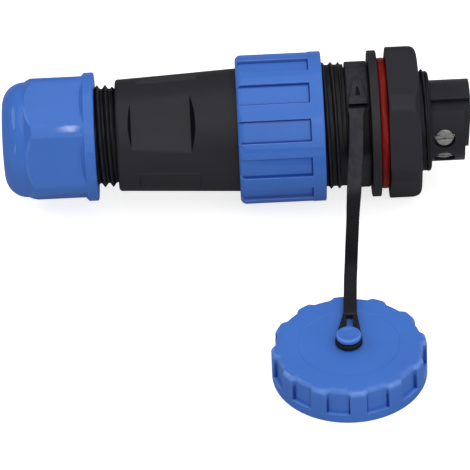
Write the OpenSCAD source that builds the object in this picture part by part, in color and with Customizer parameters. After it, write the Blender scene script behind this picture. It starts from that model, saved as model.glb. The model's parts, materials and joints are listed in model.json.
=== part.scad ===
// Waterproof circular connector: a cable plug mated with a rear-nut panel
// receptacle, and a screw cap on a strap that lies in front of it.
// X is the connector's axis, with the origin on the panel face of the flange.
// +X points to the terminals, +Z is up, and the front is -Y.
// Diameters follow from the coupling ring inwards, wall by wall.
// Threads are plain cylinders at the pitch diameter.

/* [Coupling ring] */
// Outer diameter of the coupling ring
ring_d = 40.4; // [36:0.1:46]
// Wall of the ring over the thread's crests
ring_wall = 3.1; // [2.6:0.1:3.6]
// Length of the coupling ring
ring_l = 23.1; // [21:0.1:25]
// Length of the ring over the receptacle's front thread
ring_overlap = 11.9; // [10:0.1:13]
// Number of grip recesses
recess_n = 12; // [8:1:14]
// Width of a grip recess
recess_deg = 17; // [10:1:20]
// Depth of a grip recess
recess_depth = 0.9; // [0.3:0.1:1.2]

/* [Receptacle] */
// Step from the ring's outside down to the flange's edge
flange_inset = 0.45; // [0:0.05:1]
// Thickness of the flange that seats on the panel
flange_t = 2.4; // [2:0.1:3]
// Wall of the front under its thread's crests
front_wall = 3.5; // [3:0.1:3.8]
// Length from the flange's panel face to the front rim
front_l = 26.8; // [24:0.1:30]
// Width of the groove that holds the strap
groove_w = 6.6; // [6.3:0.1:7]
// Wall of the rear barrel under its thread's crests
barrel_wall = 2; // [1.8:0.1:2.6]
// Length of the barrel behind the flange
barrel_l = 13.8; // [12.6:0.1:16]

/* [Panel hardware] */
// Width of the gasket's ring
gasket_w = 3.35; // [2:0.05:4.5]
// Thickness of the gasket
gasket_t = 2.3; // [1.5:0.1:3]
// Wall of the panel nut at its flats
nut_wall = 4.85; // [4.5:0.05:5.6]
// Thickness of the panel nut
nut_t = 8.5; // [6:0.1:9]

/* [Inserts] */
// Wall of the plug's nose
nose_wall = 1.7; // [1.5:0.1:2]
// Length that the terminal block stands out behind the barrel
block_l = 10.8; // [10:0.1:14]
// Diameter of a contact pin
pin_d = 2.5; // [2:0.1:2.6]
// Distance of the contacts inside the block's edge
contact_inset = 3.85; // [3.6:0.05:4]
// Distance between the two contacts of a pair
contact_pitch = 4.9; // [4.8:0.1:6]
// Diameter of a terminal screw's head
screw_head_d = 5.1; // [4.5:0.1:5.6]

/* [Back shell] */
// Step from the ring's outside down to the back shell
shell_drop = 3.6; // [3.3:0.05:3.8]
// Fall of the back shell's taper
shell_fall = 1.5; // [1:0.1:1.6]
// Length between the coupling ring and the gland thread
shell_l = 32.55; // [29:0.05:37]
// Depth of the two wrench flats at the rear end
flat_depth = 1.2; // [0.6:0.05:1.4]
// Length of the wrench flats and facets at their floor
flat_l = 16; // [10:0.1:17.2]
// Depth of the shallow facets between the flats
facet_depth = 0.5; // [0.2:0.05:0.8]

/* [Gland] */
// Step from the back shell down to the gland thread
gland_step = 1.3; // [1.1:0.1:1.6]
// Length of gland thread that shows
gland_gap = 5.65; // [5:0.05:6.5]
// Length of the gland nut
gland_l = 24.9; // [23:0.1:28]
// Wall of the gland nut at its flats
gland_wall = 1.95; // [1.6:0.05:2.2]
// Step of the gland nut's flange over its flats
gland_flange_w = 1.6; // [1.2:0.1:2]
// Inset of the cable hole inside the gland thread
cable_inset = 5.3; // [5:0.05:6.5]
// Wall of the rubber cable seal
seal_wall = 4; // [3:0.05:4.5]

/* [Cap] */
// Wall of the cap's side
cap_side = 2.85; // [2.6:0.05:3.6]
// Height of the cap without its knob
cap_h = 9.9; // [9:0.1:12]
// Distance of the cap's centre in front of the connector's axis
cap_reach = 80; // [72:0.5:92]
// Distance of the cap's centre to the left of the strap's band
cap_shift = 6.5; // [0:0.1:10]
// Diameter of the knob's head
knob_d = 6.4; // [6:0.1:8]

/* [Strap] */
// Thickness of the strap
strap_t = 1.3; // [1:0.1:1.4]
// Width of the strap on its way to the cap
strap_w = 3.4; // [2.4:0.1:3.6]
// Width of the strap where it leaves the band
neck_w = 3.8; // [3.6:0.1:4.4]
// Width of the band round the collar
band_w = 5.8; // [5.4:0.1:6]

/* [Hidden] */
$fn = 96;
arc_n = 8;
cut = 1;
play = 0.05;
snug = 0.1;
fit = 0.15;
slip = 0.2;
loose = 0.3;
thread_depth = 0.7;
gland_thread_depth = 1;
fine_edge = 0.5;

// Directions round the axis, counted from the front towards the top
key_at = 90;
nut_corner_at = 50.7;
gland_corner_at = 43;
flat_at = 45.5;
facet_at = 67.5;
recess_at = 33.6;
half_at = -12;
step_at = -26;
slot_at = 58.5;
notch_at = 15;
strap_slot_at = 52.5;
neck_at = 50.4;

// Receptacle shell, from the ring inwards
ring_r = ring_d / 2;
front_crest_r = ring_r - ring_wall;
front_r = front_crest_r - thread_depth / 2;
flange_r = ring_r - flange_inset;
groove_depth = 1.6;
groove_x = -flange_t - groove_w;
groove_r = front_crest_r - groove_depth;
cavity_x = -10.5;
cavity_r = front_crest_r - front_wall;
nose_r = cavity_r - loose;
nose_bore_r = nose_r - nose_wall;
mid_bore_r = nose_bore_r - snug;
block_gap = 0.55;
block_r = mid_bore_r - block_gap;
retainer_w = 1.05;
rear_bore_r = block_r + retainer_w;
barrel_crest_r = rear_bore_r + barrel_wall;
barrel_r = barrel_crest_r - thread_depth / 2;
pilot_r = barrel_r - fit;
pilot_l = 1.4;
pilot_round = 0.8;
seat_depth = 9.8;
seat_x = barrel_l - seat_depth;
key_w = 3;
key_h = 1;
key_inset = 2.8;
key_l = front_l + cavity_x - key_inset;

// Panel nut and gasket
gasket_gap = 0.35;
gasket_bore_r = barrel_crest_r + gasket_gap;
gasket_r = gasket_bore_r + gasket_w;
nut_x = gasket_t + play;
nut_bore_r = barrel_r + fit;
nut_af = 2 * (barrel_crest_r + nut_wall);
nut_corner_ratio = 1.106;
nut_corner_r = nut_af / 2 * nut_corner_ratio;
nut_round = 2.6;

// Receptacle insert and its contacts
insert_front_x = cavity_x - fine_edge;
insert_r = mid_bore_r - slip;
insert_flange_r = rear_bore_r - slip;
insert_flange_t = 3;
block_x = barrel_l + block_l;
half_step = 1.8;
step_offset = 2.7;
slot_deg = 17;
slot_depth = 1.6;
slot_inset = 1;
retainer_l = 5.5;
retainer_notch = 2.4;
oring_x = -0.9;
oring_w = 1.6;
oring_room = 0.95;
contact_r = block_r - contact_inset;
pair_deg = 2 * asin(contact_pitch / 2 / contact_r);
contact_angles = [for (half = [0, 180], end = [-1, 1]) half_at + half + end * pair_deg / 2];
pin_r = pin_d / 2;
pin_inset = 3.3;
pin_tip_x = -front_l + pin_inset;
pin_taper = 1;
wire_barrel_r = 2.05;
wire_barrel_inset = 4.8;
wire_barrel_x = barrel_l - wire_barrel_inset;
wire_hole_r = 1.3;
wire_hole_l = 9;
terminal_overhang = 3.5;
terminal_x = barrel_l + terminal_overhang;
terminal_inset = 0.7;
screw_head_r = screw_head_d / 2;
screw_shank_r = 1.4;
screw_seat_r = contact_r + wire_barrel_r + play;
screw_head_h = 1.1;
screw_tip_r = contact_r + loose;
driver_slot_w = 0.8;
driver_slot_h = 0.65;

// Coupling ring and plug nose
ring_x1 = -front_l + ring_overlap;
ring_x0 = ring_x1 - ring_l;
ring_round = 1.6;
ring_band = 3.6;
ring_thread_r = front_r + fit;
interface_t = 1.6;
interface_inset = 1;
nose_flange_t = 1.8;
nose_flange_gap = 0.35;
nose_flange_x1 = -front_l - interface_t - 2 * play;
nose_flange_x0 = nose_flange_x1 - nose_flange_t;
nose_flange_r = front_r - nose_flange_gap;
lip_t = 2.9;
lip_h = 1;
lip_x1 = nose_flange_x0 - slip;
lip_x0 = lip_x1 - lip_t;
lip_r = nose_flange_r - lip_h;
nose_neck_r = lip_r - loose;
nose_tip_gap = 1.5;
nose_x = cavity_x - nose_tip_gap;
nose_rear_step = 0.8;
nose_rear_bore_r = nose_bore_r + nose_rear_step;
nose_seat_inset = 0.7;
nose_seat_x = nose_flange_x0 - nose_seat_inset;
nose_thread_step = 0.4;
nose_thread_r = nose_neck_r - nose_thread_step;
nose_thread_l = 11;

// Back shell
shell_x1 = lip_x0 - loose;
nose_thread_x = shell_x1 - nose_thread_l;
shell_x0 = ring_x0 - shell_l;
shell_straight = 1.5;
shell_front_r = ring_r - shell_drop;
shell_rear_r = shell_front_r - shell_fall;
shell_taper = shell_fall / (shell_l - shell_straight);
shell_mouth_r = shell_front_r + shell_taper * (shell_x1 - ring_x0);
shell_edge = 1;
skirt_gap = 0.35;
skirt_bore_r = shell_mouth_r + skirt_gap;
flat_inset = 4.05;
flat_lean = 0.62;
flat_x0 = shell_x0 + flat_inset;
flat_r = shell_rear_r - flat_depth;
facet_shift = 1.9;
facet_x0 = flat_x0 + facet_shift;
facet_x1 = facet_x0 + flat_l;
shell_bore_r = nose_thread_r + fit;
shell_seal_t = 1.5;
shell_step_x = nose_thread_x - shell_seal_t - 2 * play;
shell_cavity_step = 2.65;
shell_cavity_r = shell_bore_r - shell_cavity_step;
cone_start = 4.5;
cone_l = 4;
cone_x0 = shell_x0 + cone_start;
cone_x1 = cone_x0 + cone_l;
passage_step = 3;
passage_r = shell_cavity_r - passage_step;
gland_crest_r = shell_rear_r - gland_step;
gland_thread_r = gland_crest_r - gland_thread_depth / 2;
gland_thread_l = 13.45;
gland_end_x = shell_x0 - gland_thread_l;
gland_end_wall = 3.15;
seal_seat_inset = 0.6;
seal_seat_x = shell_x0 + seal_seat_inset;
seal_seat_r = gland_crest_r - gland_end_wall;

// Gland nut, claw and cable seal
gland_x1 = shell_x0 - gland_gap;
gland_x0 = gland_x1 - gland_l;
gland_bore_r = gland_thread_r + fit;
gland_bore_l = 12.8;
gland_flat_r = gland_crest_r + gland_wall;
gland_flange_r = gland_flat_r + gland_flange_w;
gland_flange_t = 2.6;
gland_chamfer = 1;
gland_dome = 6;
gland_neck_step = 0.2;
gland_neck_r = gland_flat_r - gland_neck_step;
gland_neck_l = 6.15;
gland_face_r = gland_neck_r - gland_dome - slip;
gland_corner_r = gland_flange_r - play;
gland_corner_l = 2;
gland_neck_x = gland_x0 + gland_neck_l;
gland_hex_x = gland_neck_x + gland_corner_l;
cable_hole_r = gland_crest_r - cable_inset;
gland_face_t = 4.6;
claw_seat_x = gland_x0 + gland_face_t;
claw_room_step = 1.3;
claw_room_r = gland_bore_r - claw_room_step;
claw_ring_l = 3.9;
claw_l = 11.2;
claw_n = 8;
claw_gap = 1.5;
claw_t = 2;
claw_finger_r = seal_seat_r - 2 * slip;
claw_bore_r = claw_finger_r - claw_t;
cable_seal_l = 10.2;
cable_seal_chamfer = 1.5;
cable_seal_r = seal_seat_r - fit;
cable_seal_bore_r = cable_seal_r - seal_wall;

// Plug insert
plug_tip_gap = 1;
plug_front_x = nose_x - plug_tip_gap;
plug_flange_t = 3;
plug_block_step = 0.25;
plug_block_r = block_r - plug_block_step;
plug_block_l = 7;
plug_block_x = nose_thread_x - plug_block_l;
plug_retainer_l = 3.45;
socket_r = 2;
socket_bore_r = pin_r + slip;
socket_front_x = plug_front_x - plug_tip_gap;
socket_inset = 2;
socket_rear_x = plug_block_x + socket_inset;
pin_room = 2;
socket_bore_x = pin_tip_x - pin_room;
plug_terminal_step = 3.4;
plug_terminal_x = nose_thread_x - plug_terminal_step;

// Cap
cap_gap = 0.4;
cap_bore_r = front_r + cap_gap;
cap_r = cap_bore_r + cap_side;
cap_base_z = -ring_r;
cap_top_z = cap_base_z + cap_h;
cap_wall = 3.2;
cap_round = 1.6;
cap_rim = 2.3;
cap_recess_at = -101;
cap_recess = 1.5;
cap_line_inset = 7.1;
cap_line_r = cap_r - cap_line_inset;
cap_line_w = 0.5;
cap_line_h = 0.2;
cap_seal_t = 1.6;
cap_seal_w = 3.6;
knob_neck_r = 1.8;
knob_neck_h = strap_t + fine_edge;
knob_head_h = 1.5;
knob_round = 0.8;

// Strap, as a line in its own upright plane: forward distance and height
band_x = -flange_t - groove_w / 2;
cap_x = band_x - cap_shift;
band_r0 = groove_r + slip;
band_r1 = band_r0 + strap_t;
strap_line_r = band_r1 + strap_t / 2 - snug;
leave_at = 40;
strap_straight = 8;
strap_end_z = cap_top_z + fit + strap_t / 2;
strap_turn = atan2(cap_shift, cap_reach);
strap_reach = norm([cap_shift, cap_reach]);
neck_share = 0.45;
barb_w = 4.7;
barb_deg = 7;
strap_slot_deg = 3.8;
strap_slot_w = 5.2;
strap_slot_depth = 0.95;
tab_base = 54.6;
tab_base_w = 5;
tab_lap = 0.5;
tab_from = 61;
tab_to = 82;
tab_w = 4.4;
tab_tip_w = 1.8;
tab_h = 0.6;
tab_hole_from = 62.5;
tab_hole_to = 71.6;
tab_hole_w = 1.3;
tab_hole_tip_w = 0.3;
eyelet_r = 3.5;
eyelet_l = 11.2;
eyelet_gap = 0.25;
eyelet_slot_w = 1.7;
eyelet_slot_l = 9.8;

function facet_r(x) = shell_rear_r + shell_taper * (x - shell_x0 - shell_straight) - facet_depth;
function polar(radius, angle) = radius * [cos(angle), sin(angle)];
function arc(centre, radius, from, to, n = arc_n) =
    [for (i = [0:n]) centre + polar(radius, from + (to - from) * i / n)];

// The bend's radius is solved so that the strap lands flat on the cap's top
leave_point = polar(strap_line_r, leave_at);
bend_start = leave_point + polar(strap_straight, leave_at - 90);
strap_bend_r = (bend_start[1] - strap_end_z) / (1 - sin(leave_at));
bend_centre = bend_start + polar(strap_bend_r, leave_at);
bend_n = 20;
bend_line = arc(bend_centre, strap_bend_r, 180 + leave_at, 270, bend_n);
bend_split = floor(bend_n * neck_share);
neck_line = concat(
    arc([0, 0], strap_line_r, neck_at, leave_at),
    [for (i = [0:bend_split]) bend_line[i]]);
tail_line = concat(
    [for (i = [bend_split:bend_n]) bend_line[i]],
    [[strap_reach - eyelet_l, strap_end_z]]);
function along(line, i) =
    let (step = line[min(i + 1, len(line) - 1)] - line[max(i - 1, 0)]) step / norm(step);
function side(line, offset) =
    [for (i = [0:len(line) - 1]) line[i] + offset * [-along(line, i)[1], along(line, i)[0]]];
function reversed(list) = [for (i = [len(list) - 1:-1:0]) list[i]];

// Solid of revolution round the connector's axis, from points of radius and x
module turned(profile) {
    rotate([0, 90, 0]) rotate_extrude() polygon(profile);
}

module tube(r0, r1, x0, x1) {
    turned([[r0, x0], [r1, x0], [r1, x1], [r0, x1]]);
}

module rod(r, x0, x1) {
    translate([x0, 0, 0]) rotate([0, 90, 0]) cylinder(r = r, h = x1 - x0);
}

// Turns what stands at the front to a direction round the axis
module around(direction) {
    rotate([-direction, 0, 0]) children();
}

// Hexagonal bar along the axis, with one corner in the given direction
module hex_bar(flat_radius, corner, x0, x1) {
    around(corner + 90) translate([x0, 0, 0]) rotate([0, 90, 0])
        cylinder(r = flat_radius / cos(30), h = x1 - x0, $fn = 6);
}

// Part of a tube, centred on a direction round the axis
module tube_part(direction, degrees, r0, r1, x0, x1) {
    rotate([0, 90, 0]) rotate([0, 0, -direction - 90 - degrees / 2])
        rotate_extrude(angle = degrees) translate([r0, x0]) square([r1 - r0, x1 - x0]);
}

// Peg that points outwards at the front
module radial_peg(r, x, from, to) {
    translate([x, -from, 0]) rotate([90, 0, 0]) cylinder(r = r, h = to - from);
}

// Places a contact on its circle, in each contact's direction
module at_contacts() {
    for (direction = contact_angles)
        around(direction) translate([0, -contact_r, 0]) children();
}

// Cuts for the contacts and their screws in an insert's terminal block
module terminal_cuts(x, block_radius, contact_radius, x0, x1) {
    at_contacts() rod(contact_radius + fit, x0, x1);
    for (direction = contact_angles) around(direction) {
        radial_peg(screw_shank_r + loose, x, contact_r, block_radius);
        radial_peg(screw_head_r + loose, x, screw_seat_r, block_radius + cut);
    }
}

// Slotted screw that clamps a wire in a contact
module terminal_screws(x) {
    seat = screw_seat_r + play;
    top = seat + screw_head_h;
    for (direction = contact_angles) around(direction) difference() {
        union() {
            radial_peg(screw_shank_r, x, screw_tip_r, seat + fine_edge);
            radial_peg(screw_head_r, x, seat, top);
        }
        translate([x - screw_head_r - cut, -top - cut, -driver_slot_w / 2])
            cube([2 * (screw_head_r + cut), cut + driver_slot_h, driver_slot_w]);
    }
}

module receptacle_shell() {
    edge = fine_edge;
    color("#2b2b2d") {
        turned(concat(
            [[cavity_r, -front_l], [front_r - edge, -front_l], [front_r, -front_l + edge]],
            [[front_r, groove_x], [groove_r, groove_x], [groove_r, -flange_t]],
            arc([flange_r - edge, -flange_t + edge], edge, -90, 0),
            arc([flange_r - edge, -edge], edge, 0, 90),
            [[barrel_r, 0], [barrel_r, barrel_l - pilot_l], [pilot_r, barrel_l - pilot_l]],
            arc([pilot_r - pilot_round, barrel_l - pilot_round], pilot_round, 0, 90),
            [[rear_bore_r, barrel_l], [rear_bore_r, seat_x], [mid_bore_r, seat_x]],
            [[mid_bore_r, cavity_x], [cavity_r, cavity_x]]));
        intersection() {
            around(key_at) translate([cavity_x - key_l, -cavity_r - edge, -key_w / 2])
                cube([key_l + edge, key_h + edge, key_w]);
            rod(cavity_r + edge, cavity_x - key_l, cavity_x + edge);
        }
    }
}

module panel_gasket() {
    color("#b3261e") tube(gasket_bore_r, gasket_r, play, gasket_t);
}

module panel_nut() {
    nut_x1 = nut_x + nut_t;
    edge = fine_edge;
    color("#2b2b2d") intersection() {
        hex_bar(nut_af / 2, nut_corner_at, nut_x - cut, nut_x1 + cut);
        turned(concat(
            [[nut_bore_r, nut_x], [nut_corner_r - edge, nut_x], [nut_corner_r, nut_x + edge]],
            arc([nut_corner_r - nut_round, nut_x1 - nut_round], nut_round, 0, 90),
            [[nut_bore_r, nut_x1]]));
    }
}

module receptacle_insert() {
    flange_x1 = seat_x + insert_flange_t;
    oring_r = insert_r - oring_w + fit;
    color("#232325") difference() {
        turned([
            [0, insert_front_x], [insert_r, insert_front_x], [insert_r, oring_x - oring_room],
            [oring_r, oring_x - oring_room], [oring_r, oring_x + oring_room],
            [insert_r, oring_x + oring_room], [insert_r, seat_x + play],
            [insert_flange_r, seat_x + play], [insert_flange_r, flange_x1], [block_r, flange_x1],
            [block_r, block_x], [0, block_x]
        ]);
        at_contacts() rod(pin_r + fit, insert_front_x - cut, block_x);
        terminal_cuts(terminal_x, block_r, wire_barrel_r, wire_barrel_x - play, block_x + cut);
        for (direction = [slot_at, slot_at + 180])
            tube_part(direction, slot_deg, block_r - slot_depth, block_r + cut,
                barrel_l - slot_inset, block_x + cut);
        around(step_at) translate([block_x - half_step, -block_r - cut, -block_r - cut])
            cube([half_step + cut, block_r + cut - step_offset, 2 * (block_r + cut)]);
    }
}

module insert_seal() {
    color("#1c1c1d") rotate([0, 90, 0]) rotate_extrude()
        translate([insert_r - oring_w / 2 + fit + play / 2, oring_x])
            circle(d = oring_w - play, $fn = 48);
}

module insert_retainer() {
    x0 = seat_x + insert_flange_t + play;
    notch_x = x0 + retainer_l - retainer_notch;
    color("#353538") difference() {
        tube(block_r + fit, rear_bore_r - fit, x0, x0 + retainer_l);
        for (quarter = [0:90:270])
            around(quarter + notch_at) translate([notch_x, -rear_bore_r, -retainer_notch / 2])
                cube([retainer_notch + cut, retainer_w + cut, retainer_notch]);
    }
}

module receptacle_pins() {
    back_x = block_x - half_step - terminal_inset;
    color("#c9a64a") difference() {
        at_contacts() turned([
            [0, pin_tip_x], [pin_r - fine_edge, pin_tip_x], [pin_r, pin_tip_x + pin_taper],
            [pin_r, wire_barrel_x], [wire_barrel_r, wire_barrel_x],
            [wire_barrel_r, back_x], [wire_hole_r, back_x],
            [wire_hole_r, back_x - wire_hole_l], [0, back_x - wire_hole_l]
        ]);
        for (direction = contact_angles) around(direction)
            radial_peg(screw_shank_r + snug, terminal_x, contact_r, contact_r + wire_barrel_r + cut);
    }
}

module receptacle_screws() {
    color("#c8c8c6") terminal_screws(terminal_x);
}

module coupling_ring() {
    color("#4277c6") difference() {
        turned(concat(
            [[skirt_bore_r, ring_x0]],
            arc([ring_r - ring_round, ring_x0 + ring_round], ring_round, -90, 0),
            [[ring_r, ring_x1], [ring_thread_r, ring_x1], [ring_thread_r, lip_x1]],
            [[lip_r, lip_x1], [lip_r, lip_x0], [skirt_bore_r, lip_x0]]));
        for (i = [0:recess_n - 1])
            tube_part(recess_at + i * 360 / recess_n, recess_deg, ring_r - recess_depth, ring_r + cut,
                ring_x0 - cut, ring_x1 - ring_band);
    }
}

module plug_nose() {
    color("#2b2b2d") difference() {
        turned([
            [nose_bore_r, nose_x], [nose_r - fine_edge, nose_x], [nose_r, nose_x - fine_edge],
            [nose_r, nose_flange_x1], [nose_flange_r, nose_flange_x1], [nose_flange_r, nose_flange_x0],
            [nose_neck_r, nose_flange_x0], [nose_neck_r, shell_x1], [nose_thread_r, shell_x1],
            [nose_thread_r, nose_thread_x], [nose_rear_bore_r, nose_thread_x],
            [nose_rear_bore_r, nose_seat_x], [nose_bore_r, nose_seat_x]
        ]);
        around(key_at) translate([cavity_x - key_l - 2 * loose, -nose_r - cut, -key_w / 2 - loose])
            cube([key_l, key_h + cut, key_w + 2 * loose]);
    }
}

module interface_seal() {
    x0 = nose_flange_x1 + play;
    color("#3a3a3c") tube(nose_r + fit, front_r - interface_inset, x0, x0 + interface_t);
}

module plug_insert() {
    flange_x0 = nose_seat_x - plug_flange_t;
    flange_x1 = nose_seat_x - play;
    flange_out_r = nose_rear_bore_r - slip;
    front_out_r = nose_bore_r - slip;
    color("#232325") difference() {
        turned([
            [0, plug_block_x], [plug_block_r, plug_block_x], [plug_block_r, flange_x0],
            [flange_out_r, flange_x0], [flange_out_r, flange_x1],
            [front_out_r, flange_x1], [front_out_r, plug_front_x], [0, plug_front_x]
        ]);
        at_contacts() rod(socket_bore_r + snug, plug_block_x, plug_front_x + cut);
        terminal_cuts(plug_terminal_x, plug_block_r, socket_r, plug_block_x - cut,
            socket_front_x + play);
    }
}

module plug_insert_retainer() {
    x1 = nose_seat_x - plug_flange_t - play;
    color("#353538")
        tube(plug_block_r + fit, nose_rear_bore_r - fit, x1 - plug_retainer_l, x1);
}

module plug_sockets() {
    color("#c9a64a") difference() {
        at_contacts() turned([
            [socket_bore_r, socket_front_x], [socket_r, socket_front_x], [socket_r, socket_rear_x],
            [wire_hole_r, socket_rear_x], [wire_hole_r, socket_rear_x + wire_hole_l],
            [0, socket_rear_x + wire_hole_l], [0, socket_bore_x], [socket_bore_r, socket_bore_x]
        ]);
        for (direction = contact_angles) around(direction)
            radial_peg(screw_shank_r + snug, plug_terminal_x, contact_r, contact_r + socket_r + cut);
    }
}

module plug_screws() {
    color("#c8c8c6") terminal_screws(plug_terminal_x);
}

// Prism that cuts a flat with leaning ends into the back shell
module flat_cut(direction, x0, x1, r0, r1) {
    end0 = flat_lean * (shell_front_r - r0);
    end1 = flat_lean * (shell_front_r - r1);
    around(direction) translate([0, 0, -flat_r]) linear_extrude(2 * flat_r)
        polygon([[x0, -r0], [x1, -r1], [x1 + end1, -shell_front_r], [x0 - end0, -shell_front_r]]);
}

module back_shell() {
    color("#2b2b2d") difference() {
        turned(concat(
            [[seal_seat_r, gland_end_x], [gland_thread_r, gland_end_x], [gland_thread_r, shell_x0]],
            arc([shell_rear_r - shell_edge, shell_x0 + shell_edge], shell_edge, -90, 0),
            [[shell_rear_r, shell_x0 + shell_straight], [shell_mouth_r, shell_x1]],
            [[shell_bore_r, shell_x1], [shell_bore_r, shell_step_x]],
            [[shell_cavity_r, shell_step_x], [shell_cavity_r, cone_x1], [passage_r, cone_x0]],
            [[passage_r, seal_seat_x], [seal_seat_r, seal_seat_x]]));
        for (flat = [flat_at, flat_at + 180]) {
            flat_cut(flat, flat_x0, flat_x0 + flat_l, flat_r, flat_r);
            for (side = [-1, 1])
                flat_cut(flat + side * facet_at, facet_x0, facet_x1, facet_r(facet_x0), facet_r(facet_x1));
        }
    }
}

module back_shell_seal() {
    color("#3a3a3c") tube(nose_rear_bore_r + snug, shell_bore_r - slip,
        shell_step_x + play, nose_thread_x - play);
}

module clamp_claw() {
    x0 = claw_seat_x + play;
    finger_x = x0 + claw_ring_l;
    ring_out_r = claw_room_r - fit;
    color("#3f3f42") difference() {
        turned([
            [claw_bore_r, x0], [ring_out_r, x0], [ring_out_r, finger_x], [claw_finger_r, finger_x],
            [claw_finger_r, x0 + claw_l - cut], [claw_finger_r - cut, x0 + claw_l],
            [claw_bore_r, x0 + claw_l]
        ]);
        for (k = [0:claw_n - 1])
            around(k * 360 / claw_n) translate([finger_x, -claw_finger_r - cut, -claw_gap / 2])
                cube([claw_l, claw_t + 2 * cut, claw_gap]);
    }
}

module cable_seal() {
    x1 = seal_seat_x - play;
    x0 = x1 - cable_seal_l;
    color("#4a4a4d") turned([
        [cable_seal_bore_r, x0], [cable_seal_r - cable_seal_chamfer, x0],
        [cable_seal_r, x0 + cable_seal_chamfer], [cable_seal_r, x1], [cable_seal_bore_r, x1]
    ]);
}

module gland_nut() {
    flange_x = gland_x1 - gland_flange_t;
    chamfer_x = flange_x - gland_chamfer;
    color("#4277c6") difference() {
        union() {
            intersection() {
                turned(concat(
                    [[0, gland_x0]],
                    arc([gland_face_r, gland_x0 + gland_dome], gland_dome, -90, 0),
                    [[gland_neck_r, gland_neck_x], [gland_corner_r, gland_hex_x]],
                    [[gland_corner_r, gland_x1], [0, gland_x1]]));
                hex_bar(gland_flat_r, gland_corner_at, gland_x0 - cut, gland_x1 + cut);
            }
            turned([
                [gland_bore_r, chamfer_x], [gland_flange_r - gland_chamfer, chamfer_x],
                [gland_flange_r, flange_x], [gland_flange_r, gland_x1], [gland_bore_r, gland_x1]
            ]);
        }
        rod(cable_hole_r, gland_x0 - cut, claw_seat_x + cut);
        rod(claw_room_r, claw_seat_x, gland_x1 + cut);
        rod(gland_bore_r, gland_x1 - gland_bore_l, gland_x1 + cut);
    }
}

// Length of strap of one width, swept along a line in the strap's plane
module strap_length(line, width) {
    rotate([90, 0, -90]) linear_extrude(width, center = true)
        polygon(concat(side(line, strap_t / 2), reversed(side(line, -strap_t / 2))));
}

// Raised plate on the band with straight sides, wide at one end
module band_plate(from, to, from_w, to_w, r0, r1) {
    half = band_r1 * sin((to - from) / 2);
    intersection() {
        tube(r0, r1, -barb_w, barb_w);
        around((from + to) / 2) translate([0, -r0 / 2, 0]) rotate([90, 0, 0]) linear_extrude(r1)
            polygon([[-from_w / 2, -half], [from_w / 2, -half], [to_w / 2, half], [-to_w / 2, half]]);
    }
}

// Band round the collar, with the slot, the arrow tip over it and the barbs under it
module strap_band() {
    plate_r = band_r0 + fine_edge;
    difference() {
        union() {
            tube(band_r0, band_r1, -band_w / 2, band_w / 2);
            band_plate(tab_base, tab_from + tab_lap, tab_base_w, tab_base_w, plate_r, band_r1 + tab_h);
            band_plate(tab_from, tab_to, tab_w, tab_tip_w, plate_r, band_r1 + tab_h);
            band_plate(neck_at - barb_deg, neck_at, neck_w, barb_w, plate_r, band_r1 + strap_t);
        }
        band_plate(tab_hole_from, tab_hole_to, tab_hole_w, tab_hole_tip_w, plate_r, band_r1 + tab_h + cut);
        tube_part(strap_slot_at, strap_slot_deg, band_r1 - strap_slot_depth, band_r1 + cut,
            -strap_slot_w / 2, strap_slot_w / 2);
    }
}

// Eyelet with the keyhole that the cap's knob snaps into
module strap_eyelet() {
    half_w = strap_w / 2;
    linear_extrude(strap_t) difference() {
        union() {
            circle(r = eyelet_r);
            polygon([[-eyelet_r, 0], [eyelet_r, 0], [half_w, eyelet_l], [-half_w, eyelet_l]]);
        }
        circle(r = knob_neck_r + eyelet_gap);
        translate([-eyelet_slot_w / 2, 0]) square([eyelet_slot_w, eyelet_slot_l]);
    }
}

module cap_strap() {
    color("#2b2b2d") translate([band_x, 0, 0]) {
        strap_band();
        rotate([0, 0, -strap_turn]) {
            strap_length(neck_line, neck_w);
            strap_length(tail_line, strap_w);
            translate([0, -strap_reach, strap_end_z - strap_t / 2]) strap_eyelet();
        }
    }
}

module cap() {
    knob_r = knob_d / 2;
    knob_z = cap_top_z + knob_neck_h;
    line_z = cap_top_z - cap_line_h;
    color("#4277c6") translate([cap_x, -cap_reach, 0]) {
        difference() {
            rotate_extrude() polygon(concat(
                [[0, cap_top_z - cap_wall], [cap_bore_r, cap_top_z - cap_wall]],
                [[cap_bore_r, cap_base_z], [cap_r, cap_base_z]],
                arc([cap_r - cap_round, cap_top_z - cap_round], cap_round, 0, 90),
                [[cap_line_r + cap_line_w, cap_top_z], [cap_line_r + cap_line_w, line_z]],
                [[cap_line_r, line_z], [cap_line_r, cap_top_z], [0, cap_top_z]]));
            for (i = [0:recess_n - 1])
                rotate([0, 0, cap_recess_at + i * 360 / recess_n - recess_deg / 2])
                    rotate_extrude(angle = recess_deg)
                        translate([cap_r - cap_recess, cap_base_z + cap_rim])
                            square([cap_recess + cut, cap_h]);
        }
        rotate_extrude() polygon(concat(
            [[0, cap_top_z - cut], [knob_neck_r, cap_top_z - cut], [knob_neck_r, knob_z]],
            [[knob_r - slip, knob_z], [knob_r, knob_z + slip]],
            arc([knob_r - knob_round, knob_z + knob_head_h - knob_round], knob_round, 0, 90),
            [[0, knob_z + knob_head_h]]));
    }
}

module cap_seal() {
    top = cap_top_z - cap_wall - play;
    color("#3a3a3c") translate([cap_x, -cap_reach, 0]) rotate_extrude()
        translate([cap_bore_r - fit - cap_seal_w, top - cap_seal_t])
            square([cap_seal_w, cap_seal_t]);
}

receptacle_shell();
panel_gasket();
panel_nut();
receptacle_insert();
insert_seal();
insert_retainer();
receptacle_pins();
receptacle_screws();
coupling_ring();
plug_nose();
interface_seal();
plug_insert();
plug_insert_retainer();
plug_sockets();
plug_screws();
back_shell();
back_shell_seal();
clamp_claw();
cable_seal();
gland_nut();
cap_strap();
cap();
cap_seal();
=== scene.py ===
import json
import math

import bmesh
import bpy
import numpy as np
from mathutils import Matrix, Vector


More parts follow.
